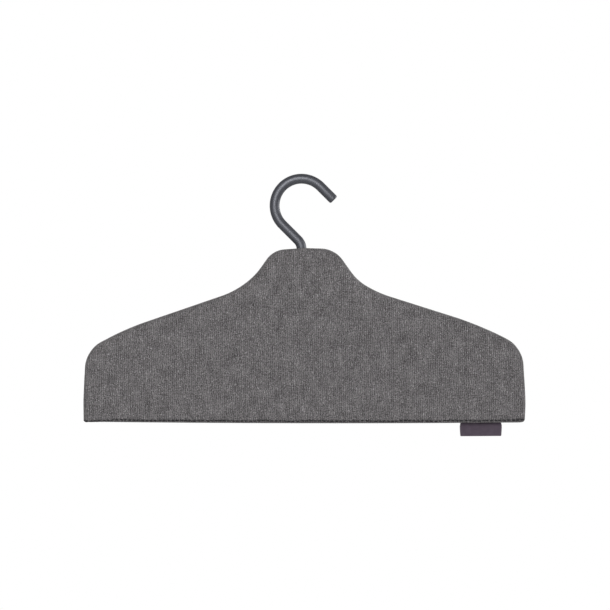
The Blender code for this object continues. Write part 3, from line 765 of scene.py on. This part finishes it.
# %% [markdown]
# ## The swollen body
#
# Padding presses the cover out, so its faces are a little crowned and its edges are soft. The outline is
# given its depth, its edges are rounded, and the whole closed body is remeshed and blown up as cloth under
# pressure, held fast at the seam all round and at the mouth. The swelling is then scaled back to what a
# thin pad gives. A mesh has thousands of vertices, so they are read and moved as one array.

# %% Round the body
EDGE_RADIUS = 4.5 * MM
VOXEL = 3.0 * MM


def on_rim(edge):
    """Whether an edge runs round the front or the rear face."""
    first, second = (v.co.y for v in edge.verts)
    return abs(abs(first) - HALF_DEPTH) < TOUCHING and abs(first - second) < TOUCHING


with editing(body, "FACE"):
    bpy.ops.mesh.select_all(action="SELECT")
    extrude(y=2 * HALF_DEPTH)
    pick(body, "edges", on_rim)
    bpy.ops.mesh.bevel(offset=EDGE_RADIUS, segments=6, affect="EDGES", clamp_overlap=False)
    bpy.ops.mesh.select_all(action="SELECT")
    bpy.ops.mesh.normals_make_consistent(inside=False)
body.data.remesh_voxel_size = VOXEL
bpy.ops.object.voxel_remesh()
report(body)


# %% Read and move all vertices
def places(obj):
    """The vertices as an array, one row each."""
    flat_list = np.empty(len(obj.data.vertices) * 3)
    obj.data.vertices.foreach_get("co", flat_list)
    return flat_list.reshape(-1, 3)


def put(obj, points):
    """Moves the vertices to an array of places."""
    obj.data.vertices.foreach_set("co", points.ravel())
    obj.data.update()


print("middle of the body in mm:", np.round(places(body).mean(axis=0) / MM, 1))

# %% Swell the body
SWELL_CAP = 0.9 * MM
PRESSURE = 4.0
SWELL_FRAMES = 20
HELD_ABOVE_BOTTOM = 5.0 * MM


def swell(obj, held, cap):
    """Blows a closed body up as cloth, held where held is true, and scales the swelling back to the cap."""
    before = places(obj)
    group = obj.vertex_groups.new(name="held")
    group.add([int(i) for i in np.flatnonzero(held)], 1.0, "REPLACE")
    modifier = obj.modifiers.new("swell", "CLOTH")
    modifier.settings.quality = 6
    modifier.settings.mass = 0.3
    modifier.settings.use_pressure = True
    modifier.settings.uniform_pressure_force = PRESSURE
    modifier.settings.effector_weights.gravity = 0.0
    modifier.settings.vertex_group_mass = group.name
    modifier.collision_settings.use_collision = False
    modifier.point_cache.frame_end = SWELL_FRAMES
    for step in range(1, SWELL_FRAMES + 1):
        bpy.context.scene.frame_set(step)
    bpy.ops.object.modifier_apply(modifier=modifier.name)
    bpy.context.scene.frame_set(1)
    obj.vertex_groups.clear()
    moved = places(obj) - before
    furthest = np.linalg.norm(moved, axis=1).max()
    put(obj, before + moved * min(1.0, cap / furthest))
    return furthest


rest = places(body)
in_seam = np.abs(rest[:, 1]) < HALF_DEPTH - EDGE_RADIUS
in_mouth = rest[:, 2] < BOTTOM_Z + HELD_ABOVE_BOTTOM
furthest = swell(body, in_seam | in_mouth, SWELL_CAP)
print("swelling before the cap, in mm:", round(furthest / MM, 2))
use_modifier(body, "SUBSURF", levels=1, render_levels=1)
report(body)

# %% [markdown]
# ## Where each bit of cloth was when it was flat
#
# The weave has to run over the rounded edge without stretching. Each vertex is measured against the
# outline: how far inside it is, and which way is out. Round the edge, the distance walked over the surface
# is laid out flat, straight out from the outline.

# %% Measure against the outline
ALMOST_NOTHING = 1e-9


def against_outline(points):
    """For each (x, z): how far it is inside the outline, and the outward direction there."""
    start, end = outline, np.roll(outline, -1, axis=0)
    run = end - start
    length = np.linalg.norm(run, axis=1)
    outward = np.stack([-run[:, 1], run[:, 0]], axis=1) / length[:, None]
    if (outward[0] * (start[0] - outline.mean(axis=0))).sum() < 0:
        outward = -outward
    best = np.full(len(points), np.inf)
    inside, out = np.zeros(len(points)), np.zeros((len(points), 2))
    for i in range(len(start)):
        from_start = points - start[i]
        share = np.clip(from_start @ run[i] / length[i] ** 2, 0.0, 1.0)
        gap = np.linalg.norm(from_start - share[:, None] * run[i], axis=1)
        nearer = gap < best
        best[nearer] = gap[nearer]
        inside[nearer] = -(from_start[nearer] @ outward[i])
        out[nearer] = outward[i]
    return inside, out


def lay_flat(obj):
    """Gives each vertex the place it had in the flat cloth, as the attribute that the weave reads."""
    points = places(obj)
    inside, out = against_outline(points[:, [0, 2]])
    depth = np.abs(points[:, 1])
    beyond = EDGE_RADIUS - inside
    wall = HALF_DEPTH - EDGE_RADIUS - depth
    round_part = EDGE_RADIUS * np.arctan2(np.maximum(beyond, 0.0), np.maximum(-wall, ALMOST_NOTHING))
    walked = np.where(wall > 0, EDGE_RADIUS * math.pi / 2 + wall, round_part)
    extra = np.where(beyond > 0, walked - beyond, 0.0)
    flat_place = np.zeros_like(points)
    flat_place[:, :2] = points[:, [0, 2]] + out * extra[:, None]
    attribute = obj.data.attributes.new(FLAT, "FLOAT_VECTOR", "POINT")
    attribute.data.foreach_set("vector", flat_place.ravel())


lay_flat(body)
all_round = np.linalg.norm(outline - np.roll(outline, 1, axis=0), axis=1).sum()
print("outline in mm, all round:", round(all_round / MM))

# %% [markdown]
# ## Panels, seams and hems
#
# The cover is sewn from a front panel, a rear panel and a strip that closes the mouth. Each is a piece of
# the swollen body, cut off by bisecting. At a seam, the cloth rolls over and its allowance turns inside,
# and at the hem it folds right back. `turn_in` carries the cloth on past such an edge, step by step, along
# a path that `roll_path` works out.

# %% Cut a panel from the body
SEAM_ROLL = 0.9 * MM
SEAM_HALF_GAP = 0.12 * MM
SEAM_Y = SEAM_HALF_GAP + SEAM_ROLL
MERGE = 1e-7


def cut_away(point, away, fill=False):
    """Bisects the whole mesh, and takes off what lies past the point."""
    bpy.ops.mesh.select_all(action="SELECT")
    bpy.ops.mesh.bisect(plane_co=point, plane_no=away, use_fill=fill, clear_outer=True, threshold=MERGE)


def cut_panel(name, cuts):
    """A copy of the body, less what lies past each cut: a point, and the direction of what goes."""
    panel = body.copy()
    panel.data = body.data.copy()
    panel.name = panel.data.name = name
    bpy.context.scene.collection.objects.link(panel)
    with editing(panel):
        for point, away in cuts:
            cut_away(point, away)
    return panel


print("the seam's edge is at y =", round(SEAM_Y / MM, 2), "mm on each side")

# %% Roll and turn the cloth
ALLOWANCE = 2.4 * MM
ROLL_STEPS = 5
QUARTER_TURN = math.pi / 2


def roll_path(radius, quarter_turns):
    """(onward, inward, walked) round a roll of one or two quarter turns."""
    steps = []
    for k in range(1, ROLL_STEPS * quarter_turns + 1):
        turn = QUARTER_TURN * k / ROLL_STEPS
        steps.append((radius * math.sin(turn), radius * (1 - math.cos(turn)), radius * turn))
    return steps


def roll_inward(radius, depth):
    """Over a quarter turn, and then straight in for a depth."""
    return roll_path(radius, 1) + [(radius, radius + depth, radius * QUARTER_TURN + depth)]


def turn_in(mesh, edges, outward, onward, flat_way, path):
    """Carries the cloth on from open edges, along a path of (onward, inward, walked) steps.

    outward, onward and flat_way give three directions at a vertex: out of the cloth, on past its edge, and on
    past its edge in the flat cloth. Returns the open edges where the cloth now ends.
    """
    flat_layer = mesh.verts.layers.float_vector[FLAT]
    verts = {v for edge in edges for v in edge.verts}
    frames = {v: (outward(v), onward(v), flat_way(v)) for v in verts}
    current = {v: v for v in verts}
    for ahead, inward, walked in path:
        following = {}
        for v, (out, on, way) in frames.items():
            added = mesh.verts.new(v.co + on * ahead - out * inward)
            added[flat_layer] = v[flat_layer] + way * walked
            following[v] = added
        for edge in edges:
            loop = edge.link_loops[0]
            a, b = loop.vert, loop.link_loop_next.vert
            mesh.faces.new((current[b], current[a], following[a], following[b]))
        current = following
    return [mesh.edges.get([current[v] for v in edge.verts]) for edge in edges]


print("an allowance is laid in", len(roll_inward(SEAM_ROLL, ALLOWANCE)), "steps")


# %% Find edges and directions
def always(x, y, z):
    """The same direction at every vertex."""
    direction = Vector((x, y, z))
    return lambda vert: direction


def out_on_level(vert):
    """Out of the cloth, kept level."""
    return Vector((vert.normal.x, vert.normal.y, 0.0)).normalized()


def out_of_outline(vert):
    """Out from the cover's outline, as seen from the front."""
    _, out = against_outline(np.array([[vert.co.x, vert.co.z]]))
    return Vector((out[0][0], 0.0, out[0][1]))


def out_in_flat(vert):
    """The same direction in the flat cloth, whose second axis is up."""
    out = out_of_outline(vert)
    return Vector((out.x, out.z, 0.0))


def on_level(mesh, axis, level):
    """The open edges that lie on one level: axis is 1 for y and 2 for z."""
    near = {v for v in mesh.verts if abs(v.co[axis] - level) < 10 * TOUCHING}
    return [e for e in mesh.edges if e.is_boundary and near.issuperset(e.verts)]


print("seam roll in mm:", SEAM_ROLL / MM)

# %% [markdown]
# ## Openings in the seams
#
# The seam is left open at the top, where the rod comes out, and it parts at the bottom, where the ribbon is
# sewn in. Both openings are lens-shaped, as a seam opens: widest in the middle, and closing to nothing at
# its ends.

# %% Part a seam
LABEL_SHIFT = 2.9 * MM
LABEL_X = (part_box("label")[0].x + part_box("label")[1].x) / 2 + LABEL_SHIFT
# Middle, half length and half width of each opening, and the lowest and highest cloth that it moves
HOOK_OPENING = (0.0, 10.0 * MM, 5.5 * MM, TOP_Z - 8.0 * MM, 0.0)
LABEL_OPENING = (LABEL_X, 26.0 * MM, 1.5 * MM, BOTTOM_Z - 8.0 * MM, BOTTOM_Z + 5.0 * MM)


def part_seam(mesh, opening):
    """Moves the cloth aside from the seam, round an opening."""
    middle, half_length, half_width, lowest, highest = opening
    for v in mesh.verts:
        share = (v.co.x - middle) / half_length
        if abs(share) < 1 and lowest < v.co.z < highest:
            aside = half_width * (1 - share ** 2) ** 0.75
            near = max(0.0, 1 - abs(v.co.y) / HALF_DEPTH)
            v.co.y += math.copysign(aside * near, v.co.y)


print("the ribbon is sewn in at x =", round(LABEL_X / MM, 1), "mm")

# %% [markdown]
# ## How the lower edge strays
#
# No sewn edge is dead level. On the real cover the hem's edge runs in slow waves, drops at its left end and
# rises at its right, and the whole lower edge hangs down a little in the middle. A sum of two sines does
# for the waves, and eased steps do for the ends.

# %% Let the lower edge stray
LONG_WAVE, LONG_WAVE_RUN = 0.22 * MM, 7.6 * MM
SHORT_WAVE, SHORT_WAVE_RUN = 0.16 * MM, 3.3 * MM
LEFT_DROP, LEFT_DROP_RUN = 2.0 * MM, 30.0 * MM
RIGHT_LIFT, RIGHT_LIFT_RUN = 0.9 * MM, 25.0 * MM
SAG_LEVEL, SAG_TILT, SAG_CURVE = -0.75 * MM, -0.42 * MM, 1.23 * MM
SAG_REACH = 30.0 * MM


def eased(share):
    """0 to 1 with a soft start and end, as share goes from 0 to 1."""
    share = min(1.0, max(0.0, share))
    return share ** 2 * (3 - 2 * share)


def hem_sway(x):
    """How far the hem's edge strays from level at x."""
    wave = LONG_WAVE * math.sin(x / LONG_WAVE_RUN) + SHORT_WAVE * math.sin(x / SHORT_WAVE_RUN + 1.0)
    from_left, from_right = x - COVER_SLIP + HALF_WIDTH, COVER_SLIP + HALF_WIDTH - x
    drop = LEFT_DROP * eased(1 - from_left / LEFT_DROP_RUN)
    lift = RIGHT_LIFT * eased(1 - from_right / RIGHT_LIFT_RUN)
    return wave - drop + lift


def sag(obj):
    """Lets the lowest cloth down a little in the middle, and lifts it at the left end."""
    points = places(obj)
    near = np.clip(1 - (points[:, 2] - BOTTOM_Z) / SAG_REACH, 0.0, 1.0)
    share = np.clip(points[:, 0] / HALF_WIDTH, -1.0, 1.0)
    points[:, 2] += (SAG_LEVEL + SAG_TILT * share + SAG_CURVE * share ** 2) * near ** 2
    put(obj, points)


print("the hem at the middle strays by", round(hem_sway(0.0) / MM, 2), "mm")

# %% Finish a panel
CLOTH_THICKNESS = 0.55 * MM


def edit_mesh(obj, change):
    """Runs a change on the object's mesh, opened as a bmesh."""
    mesh = bmesh.new()
    mesh.from_mesh(obj.data)
    change(mesh)
    mesh.to_mesh(obj.data)
    mesh.free()


def finish_cloth(obj, thickness=CLOTH_THICKNESS):
    """Gives a single layer of cloth its sag, its thickness on the inside, and its finish."""
    sag(obj)
    use_modifier(obj, "SOLIDIFY", thickness=thickness, offset=-1.0)
    obj.data.materials.append(CLOTH)
    smooth(obj, 60.0)
    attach(obj, "board")
    report(obj)


print("cloth in mm:", CLOTH_THICKNESS / MM)

# %% [markdown]
# ## The front panel
#
# The front panel is what the photograph shows: it wraps round the edge to the seam, and ends along the
# bottom in a hem that is folded right back inside. Its seam allowance turns in, and the seam parts round
# the rod.

# %% Make the front panel
HEM_EDGE_Z = HEM_Z - CLEARANCE
HEM_ROLL = 0.85 * MM
HEM_TOP_Z = HEM_EDGE_Z + HEM_ROLL
HEM_FOLD = 12.0 * MM
HEM_FOLD_STEPS = 4
SWAY_REACH = 14.0 * MM
SEAM_CLEARANCE = 1.3 * MM


def clear_of_seam(edges):
    """Those edges that keep clear of the seam, so that no beak forms where two rolls meet."""
    return [e for e in edges if all(abs(v.co.y) > SEAM_CLEARANCE for v in e.verts)]


def shape_front(mesh):
    """Parts the seam at the rod, sways the hem, and turns both edges in."""
    seam, hem = on_level(mesh, 1, -SEAM_Y), clear_of_seam(on_level(mesh, 2, HEM_TOP_Z))
    part_seam(mesh, HOOK_OPENING)
    for v in mesh.verts:
        v.co.z += hem_sway(v.co.x) * max(0.0, 1 - (v.co.z - HEM_TOP_Z) / SWAY_REACH)
    mesh.normal_update()
    turn_in(mesh, seam, out_of_outline, always(0, 1, 0), out_in_flat, roll_inward(SEAM_ROLL, ALLOWANCE))
    step = HEM_FOLD / HEM_FOLD_STEPS
    fold = roll_path(HEM_ROLL, 2)
    # The walk along the fold is counted from the edge again, so its hidden weave lies a roll's length off
    fold += [(-step * k, 2 * HEM_ROLL, step * k) for k in range(1, HEM_FOLD_STEPS + 1)]
    turn_in(mesh, hem, out_on_level, always(0, 0, -1), always(0, -1, 0), fold)


front = cut_panel("cover_front_cloth", (
    ((0.0, -SEAM_Y, 0.0), (0.0, 1.0, 0.0)),
    ((0.0, 0.0, HEM_TOP_Z), (0.0, 0.0, -1.0)),
))
edit_mesh(front, shape_front)
finish_cloth(front)
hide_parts("cover_front")

# %% [markdown]
# ## The rear panel
#
# The rear panel is one piece from the top to the bottom seam, with no hem. It is cut and turned in at its
# seam as the front is, and parts in two places: round the rod, and where the ribbon is sewn in.


# %% Make the rear panel
def shape_rear(mesh):
    """Parts the seam at the rod and at the ribbon, and turns it in."""
    seam = on_level(mesh, 1, SEAM_Y)
    part_seam(mesh, HOOK_OPENING)
    part_seam(mesh, LABEL_OPENING)
    turn_in(mesh, seam, out_of_outline, always(0, -1, 0), out_in_flat, roll_inward(SEAM_ROLL, ALLOWANCE))


rear = cut_panel("cover_rear_cloth", (((0.0, SEAM_Y, 0.0), (0.0, -1.0, 0.0)),))
edit_mesh(rear, shape_rear)
finish_cloth(rear)
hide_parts("cover_rear")

# %% [markdown]
# ## The strip that closes the mouth
#
# The dark slit above the bottom edge is where the cover opens. The strip below it comes from the bottom
# seam, turns in at the slit, and is tucked up behind the front panel's hem. Its edge is drawn in by each
# stitch, so it runs in small scallops. It turns in over a quarter turn, and only its middle goes on up as
# the tongue.

# %% Make the strip
MOUTH_GAP = 1.2 * MM
STRIP_ROLL = 0.5 * MM
STRIP_TOP_Z = HEM_EDGE_Z - MOUTH_GAP - STRIP_ROLL
STRIP_INWARD = 1.0 * MM
STRIP_THICKNESS = 0.4 * MM
STRIP_SWAY_SHARE, STRIP_SWAY_REACH = 0.8, 2.0 * MM
STITCH_PITCH = 4.4 * MM
SCALLOP = 0.35 * MM
LOWEST_STRIP = -1.3 * MM
TONGUE_HALF = 206.0 * MM
TONGUE_TOP_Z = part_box("tuck_flap")[1].z
TONGUE_STEPS = 6


def sway_strip(vert):
    """Moves the strip's edge with the hem, and draws it in at each stitch."""
    near = max(0.0, 1 - (STRIP_TOP_Z - vert.co.z) / STRIP_SWAY_REACH)
    scallop = SCALLOP * math.sin(math.tau * vert.co.x / STITCH_PITCH)
    vert.co.z += max(STRIP_SWAY_SHARE * hem_sway(vert.co.x) + scallop, LOWEST_STRIP) * near


def shape_strip(mesh):
    """Parts the seam at the ribbon, turns it in, and turns the other edge in and up."""
    seam, edge = on_level(mesh, 1, -SEAM_Y), clear_of_seam(on_level(mesh, 2, STRIP_TOP_Z))
    part_seam(mesh, LABEL_OPENING)
    for v in mesh.verts:
        sway_strip(v)
    mesh.normal_update()
    turn_in(mesh, seam, out_of_outline, always(0, 1, 0), out_in_flat, roll_inward(SEAM_ROLL, ALLOWANCE))
    up, up_in_flat = always(0, 0, 1), always(0, 1, 0)
    ends = turn_in(mesh, edge, out_on_level, up, up_in_flat, roll_inward(STRIP_ROLL, STRIP_INWARD))
    tongue = [e for e in ends if all(abs(v.co.x - COVER_SLIP) < TONGUE_HALF for v in e.verts)]
    step = (TONGUE_TOP_Z - STRIP_TOP_Z) / TONGUE_STEPS
    rise = [(step * k, 0.0, step * k) for k in range(1, TONGUE_STEPS + 1)]
    turn_in(mesh, tongue, always(0, -1, 0), up, up_in_flat, rise)


strip = cut_panel("mouth_strip_cloth", (
    ((0.0, -SEAM_Y, 0.0), (0.0, 1.0, 0.0)),
    ((0.0, 0.0, STRIP_TOP_Z), (0.0, 0.0, 1.0)),
))
edit_mesh(strip, shape_strip)
finish_cloth(strip, STRIP_THICKNESS)
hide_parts("tuck_flap")

# %% [markdown]
# ## The pads
#
# Two pads of felt lie between the board and the cover, one on each face, and give the cover its crown. Each
# is the body again, made smaller by the cloth's thickness and a small gap, and cut off flat where it lies
# on the board.

# %% Cut the pads
PAD_INSET = CLOTH_THICKNESS + 0.25 * MM


def make_pad(node, side):
    """One pad: side is -1 for the front and 1 for the rear."""
    low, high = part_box(node)
    back_y = low.y if side > 0 else high.y
    pad = cut_panel(node.replace("pad", "padding"), ())
    with editing(pad):
        bpy.ops.mesh.select_all(action="SELECT")
        bpy.ops.transform.shrink_fatten(value=-PAD_INSET)
        cut_away((0, back_y, 0), (0, -side, 0), fill=True)
        cut_away((0, 0, low.z), (0, 0, -1), fill=True)
        cut_away((0, 0, high.z), (0, 0, 1), fill=True)
    pad.data.materials.append(FELT)
    smooth(pad)
    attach(pad, "board")
    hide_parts(node)
    report(pad)
    return pad


front_padding = make_pad("front_pad", -1)
rear_padding = make_pad("rear_pad", 1)
bpy.data.objects.remove(body, do_unlink=True)

# %% [markdown]
# ## The ribbon's finish
#
# The ribbon is woven tape in dark plum: fine ribs across it, finer threads along it, and a slightly greyer
# selvedge at each side. Ribs and threads are sines on the ribbon's own metres, softened by a little fuzz.

# %% Finish the ribbon
RIBBON_HALF = 21.45 * MM
SELVEDGE = 1.3 * MM
RIB_PITCH = 0.36 * MM
THREAD_PITCH = 0.5 * MM
FUZZ_LENGTH = 0.4 * MM
TONE_LENGTH = 6.0 * MM
RIB_DEPTH = 0.05 * MM


def make_ribbon():
    """Plum tape: body and selvedge, with painted shade between the ribs, and darker where it is fuzzy."""
    ribbon = Finish("woven_ribbon", Roughness=0.62, Sheen_Weight=0.2, Sheen_Roughness=0.4)
    place = ribbon.place()
    across, _, up = ribbon.along(place)
    ribs = (up * (math.tau / RIB_PITCH)).sine()
    threads = (across * (math.tau / THREAD_PITCH)).sine()
    fuzz = ribbon.noise(place, 1 / FUZZ_LENGTH, 2.0)
    drift = ribbon.noise(place, 1 / TONE_LENGTH, 2.0)
    edge = (across - LABEL_X).size().between(RIBBON_HALF - SELVEDGE, RIBBON_HALF - 0.6 * SELVEDGE)
    body_colour = ribbon.mix(drift.between(0.3, 0.7), grey(69, 55, 71), grey(76, 63, 78))
    colour = ribbon.mix(edge * 0.15, body_colour, grey(122, 114, 122))
    # Painted shade between the ribs, and a darker tone at random where the fuzz is.
    rib_shade_and_fuzz = (0.5 - ribs * 0.5) * 0.14 + fuzz * 0.16
    ribbon.feed("Base Color", ribbon.mix(rib_shade_and_fuzz, colour, grey(46, 38, 47)))
    ribbon.bump(ribs + threads * 0.4 + fuzz, RIB_DEPTH, 0.5)
    return ribbon.material


RIBBON = make_ribbon()
print("finish:", RIBBON.name)

# %% [markdown]
# ## The ribbon
#
# A short ribbon is sewn into the bottom seam on the right, folded in half. By hand it is a row of edges,
# extruded down, spun round the fold and extruded up again.

# %% Fold the ribbon
RIBBON_THICKNESS = 0.3 * MM
FOLD_RADIUS = 0.4 * MM
RIBBON_TOP_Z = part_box("label")[1].z - 0.2 * MM
FOLD_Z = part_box("label")[0].z - CLEARANCE + FOLD_RADIUS + RIBBON_THICKNESS / 2
FIRST_ROW = 1.0 * MM
RIBBON_ROWS = 9
RIBBON_COLUMNS = 28
layer_height = RIBBON_TOP_Z - FIRST_ROW - FOLD_Z


def below_first_row(edge):
    """Whether an edge lies at the lower side of the first row."""
    return all(v.co.z < RIBBON_TOP_Z - 0.9 * FIRST_ROW for v in edge.verts)


bpy.ops.object.select_all(action="DESELECT")
bpy.ops.mesh.primitive_grid_add(
    x_subdivisions=RIBBON_COLUMNS, y_subdivisions=1, size=1.0,
    location=(LABEL_X, -FOLD_RADIUS, RIBBON_TOP_Z - FIRST_ROW / 2), rotation=UPRIGHT,
)
bpy.context.object.scale = (2 * RIBBON_HALF, FIRST_ROW, 1.0)
label = settle("label_ribbon")
with editing(label, "EDGE"):
    pick(label, "edges", below_first_row)
    for _ in range(RIBBON_ROWS):
        extrude(z=-layer_height / RIBBON_ROWS)
    bpy.ops.mesh.spin(steps=8, angle=math.pi, center=(LABEL_X, 0.0, FOLD_Z), axis=(1.0, 0.0, 0.0))
    for _ in range(RIBBON_ROWS):
        extrude(z=layer_height / RIBBON_ROWS)
    extrude(z=FIRST_ROW)
report(label)

# %% [markdown]
# ## How the ribbon hangs
#
# The ribbon narrows a little at the seam that grips it and again at the fold, bows forward as it hangs, and
# twists slightly. Each of these is a small move of its vertices, by how far down and across they lie. Then
# it gets its thickness.

# %% Let the ribbon hang
GRIP_NARROWING, FOLD_NARROWING, END_NARROWING = 0.8 * MM, 0.55 * MM, 0.25 * MM
GRIP_END, FOLD_END = 0.3, 0.93
BOW, TWIST = 0.7 * MM, 0.16 * MM

points = places(label)
seam_z = BOTTOM_Z - CLEARANCE
down = np.clip((seam_z - points[:, 2]) / (seam_z - FOLD_Z), 0.0, 1.0)
gripped = np.clip(1 - down / GRIP_END, 0.0, 1.0)
hanging = np.clip((down - GRIP_END) / (1 - GRIP_END), 0.0, 1.0)
folding = np.clip((down - FOLD_END) / (1 - FOLD_END), 0.0, 1.0)
narrowing = GRIP_NARROWING * gripped ** 2 + FOLD_NARROWING * hanging ** 1.3 + END_NARROWING * folding ** 2
across_share = (points[:, 0] - LABEL_X) / RIBBON_HALF
points[:, 0] -= across_share * narrowing
points[:, 1] -= BOW * down ** 2 + TWIST * down * np.sin(across_share * 2.4 + 0.6)
put(label, points)
sag(label)
use_modifier(label, "SOLIDIFY", thickness=RIBBON_THICKNESS, offset=0.0)
with editing(label):
    bpy.ops.mesh.select_all(action="SELECT")
    bpy.ops.mesh.normals_make_consistent(inside=False)
label.data.materials.append(RIBBON)
smooth(label, 50.0)
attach(label, "board")
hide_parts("label")
report(label)

# %% [markdown]
# ## The stitches in the mouth
#
# A seam in dark thread runs in the groove between the hem and the strip, so that from the front the groove
# reads as a row of dark dashes. Their dark is partly the thread's own colour and partly painted shade: it
# stands in for the shadow in the groove, which the front lamp lights. One stitch is modelled as a small
# stretched bead and copied along the groove, each copy with a lean and a place of its own. Towards the ends
# they lie straighter and fuller, and fill the groove with that painted shade.

# %% Place the stitches
STITCH_SHAPE = (1.65 * MM, 0.5 * MM, 0.75 * MM)
GROOVE_Z = HEM_EDGE_Z - 0.6 * MM
GROOVE_DROP = BOTTOM_Z + EDGE_RADIUS - GROOVE_Z
GROOVE_Y = -HALF_DEPTH + EDGE_RADIUS - math.sqrt(EDGE_RADIUS ** 2 - GROOVE_DROP ** 2)
STITCH_Y = GROOVE_Y + 0.1 * MM
END_GAP = 3.5 * MM
STRAY_MM = 0.5
LEAST_LEAN, MOST_LEAN = 4.0, 16.0
END_STITCHES = 6
LONGER_AT_END, HIGHER_AT_END = 0.25, 0.35

first_x, last_x = COVER_SLIP - HALF_WIDTH + END_GAP, COVER_SLIP + HALF_WIDTH - END_GAP
stitch_count = round((last_x - first_x) / STITCH_PITCH) + 1
chance = np.random.default_rng(7)


def place_stitch(copy, number, even_x):
    """Sets one stitch in the groove: every third leans the other way."""
    x = even_x + chance.uniform(-STRAY_MM, STRAY_MM) * MM
    lean = math.radians(chance.uniform(LEAST_LEAN, MOST_LEAN) * (1 if number % 3 else -1))
    near_end = eased(1 - min(number, stitch_count - 1 - number) / END_STITCHES)
    copy.location = (x, STITCH_Y, GROOVE_Z + hem_sway(x))
    copy.rotation_euler = (0.0, lean * (1 - near_end), 0.0)
    copy.scale = (1.0 + LONGER_AT_END * near_end, 1.0, 1.0 + HIGHER_AT_END * near_end)


print("stitches:", stitch_count)

# %% Sew the mouth
bpy.ops.object.select_all(action="DESELECT")
bpy.ops.mesh.primitive_uv_sphere_add(segments=8, ring_count=6, radius=1.0)
bpy.context.object.scale = STITCH_SHAPE
stitch = settle("one_stitch")
copies = []
for number, even_x in enumerate(np.linspace(first_x, last_x, stitch_count)):
    copy = stitch.copy()
    copy.data = stitch.data.copy()
    bpy.context.scene.collection.objects.link(copy)
    place_stitch(copy, number, even_x)
    copies.append(copy)
bpy.data.objects.remove(stitch, do_unlink=True)
choose(copies[0])
for copy in copies:
    copy.select_set(True)
bpy.ops.object.join()
stitches = settle("mouth_stitches_and_groove_shade")
sag(stitches)
stitches.data.materials.append(THREAD_AND_GROOVE_SHADE)
smooth(stitches, 60.0)
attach(stitches, "board")
report(stitches)

# %% [markdown]
# ## What each sheet was cut to
#
# The cloth isn't declared as sheets in this script. The sizes that each sheet was cut to before it was sewn
# are estimates, and three of the lengths are off: laid out by the places that the weave reads, the rear panel
# is
# 473 x 200 mm and the strip 466 x 38 mm, and the ribbon's two layers and its fold add up to 34 mm, where the
# estimates give 190, 46 and 36.1 mm. Areas read off the finished pieces, half of whose surface is the cloth,
# can't show whether the shape above stretched it.
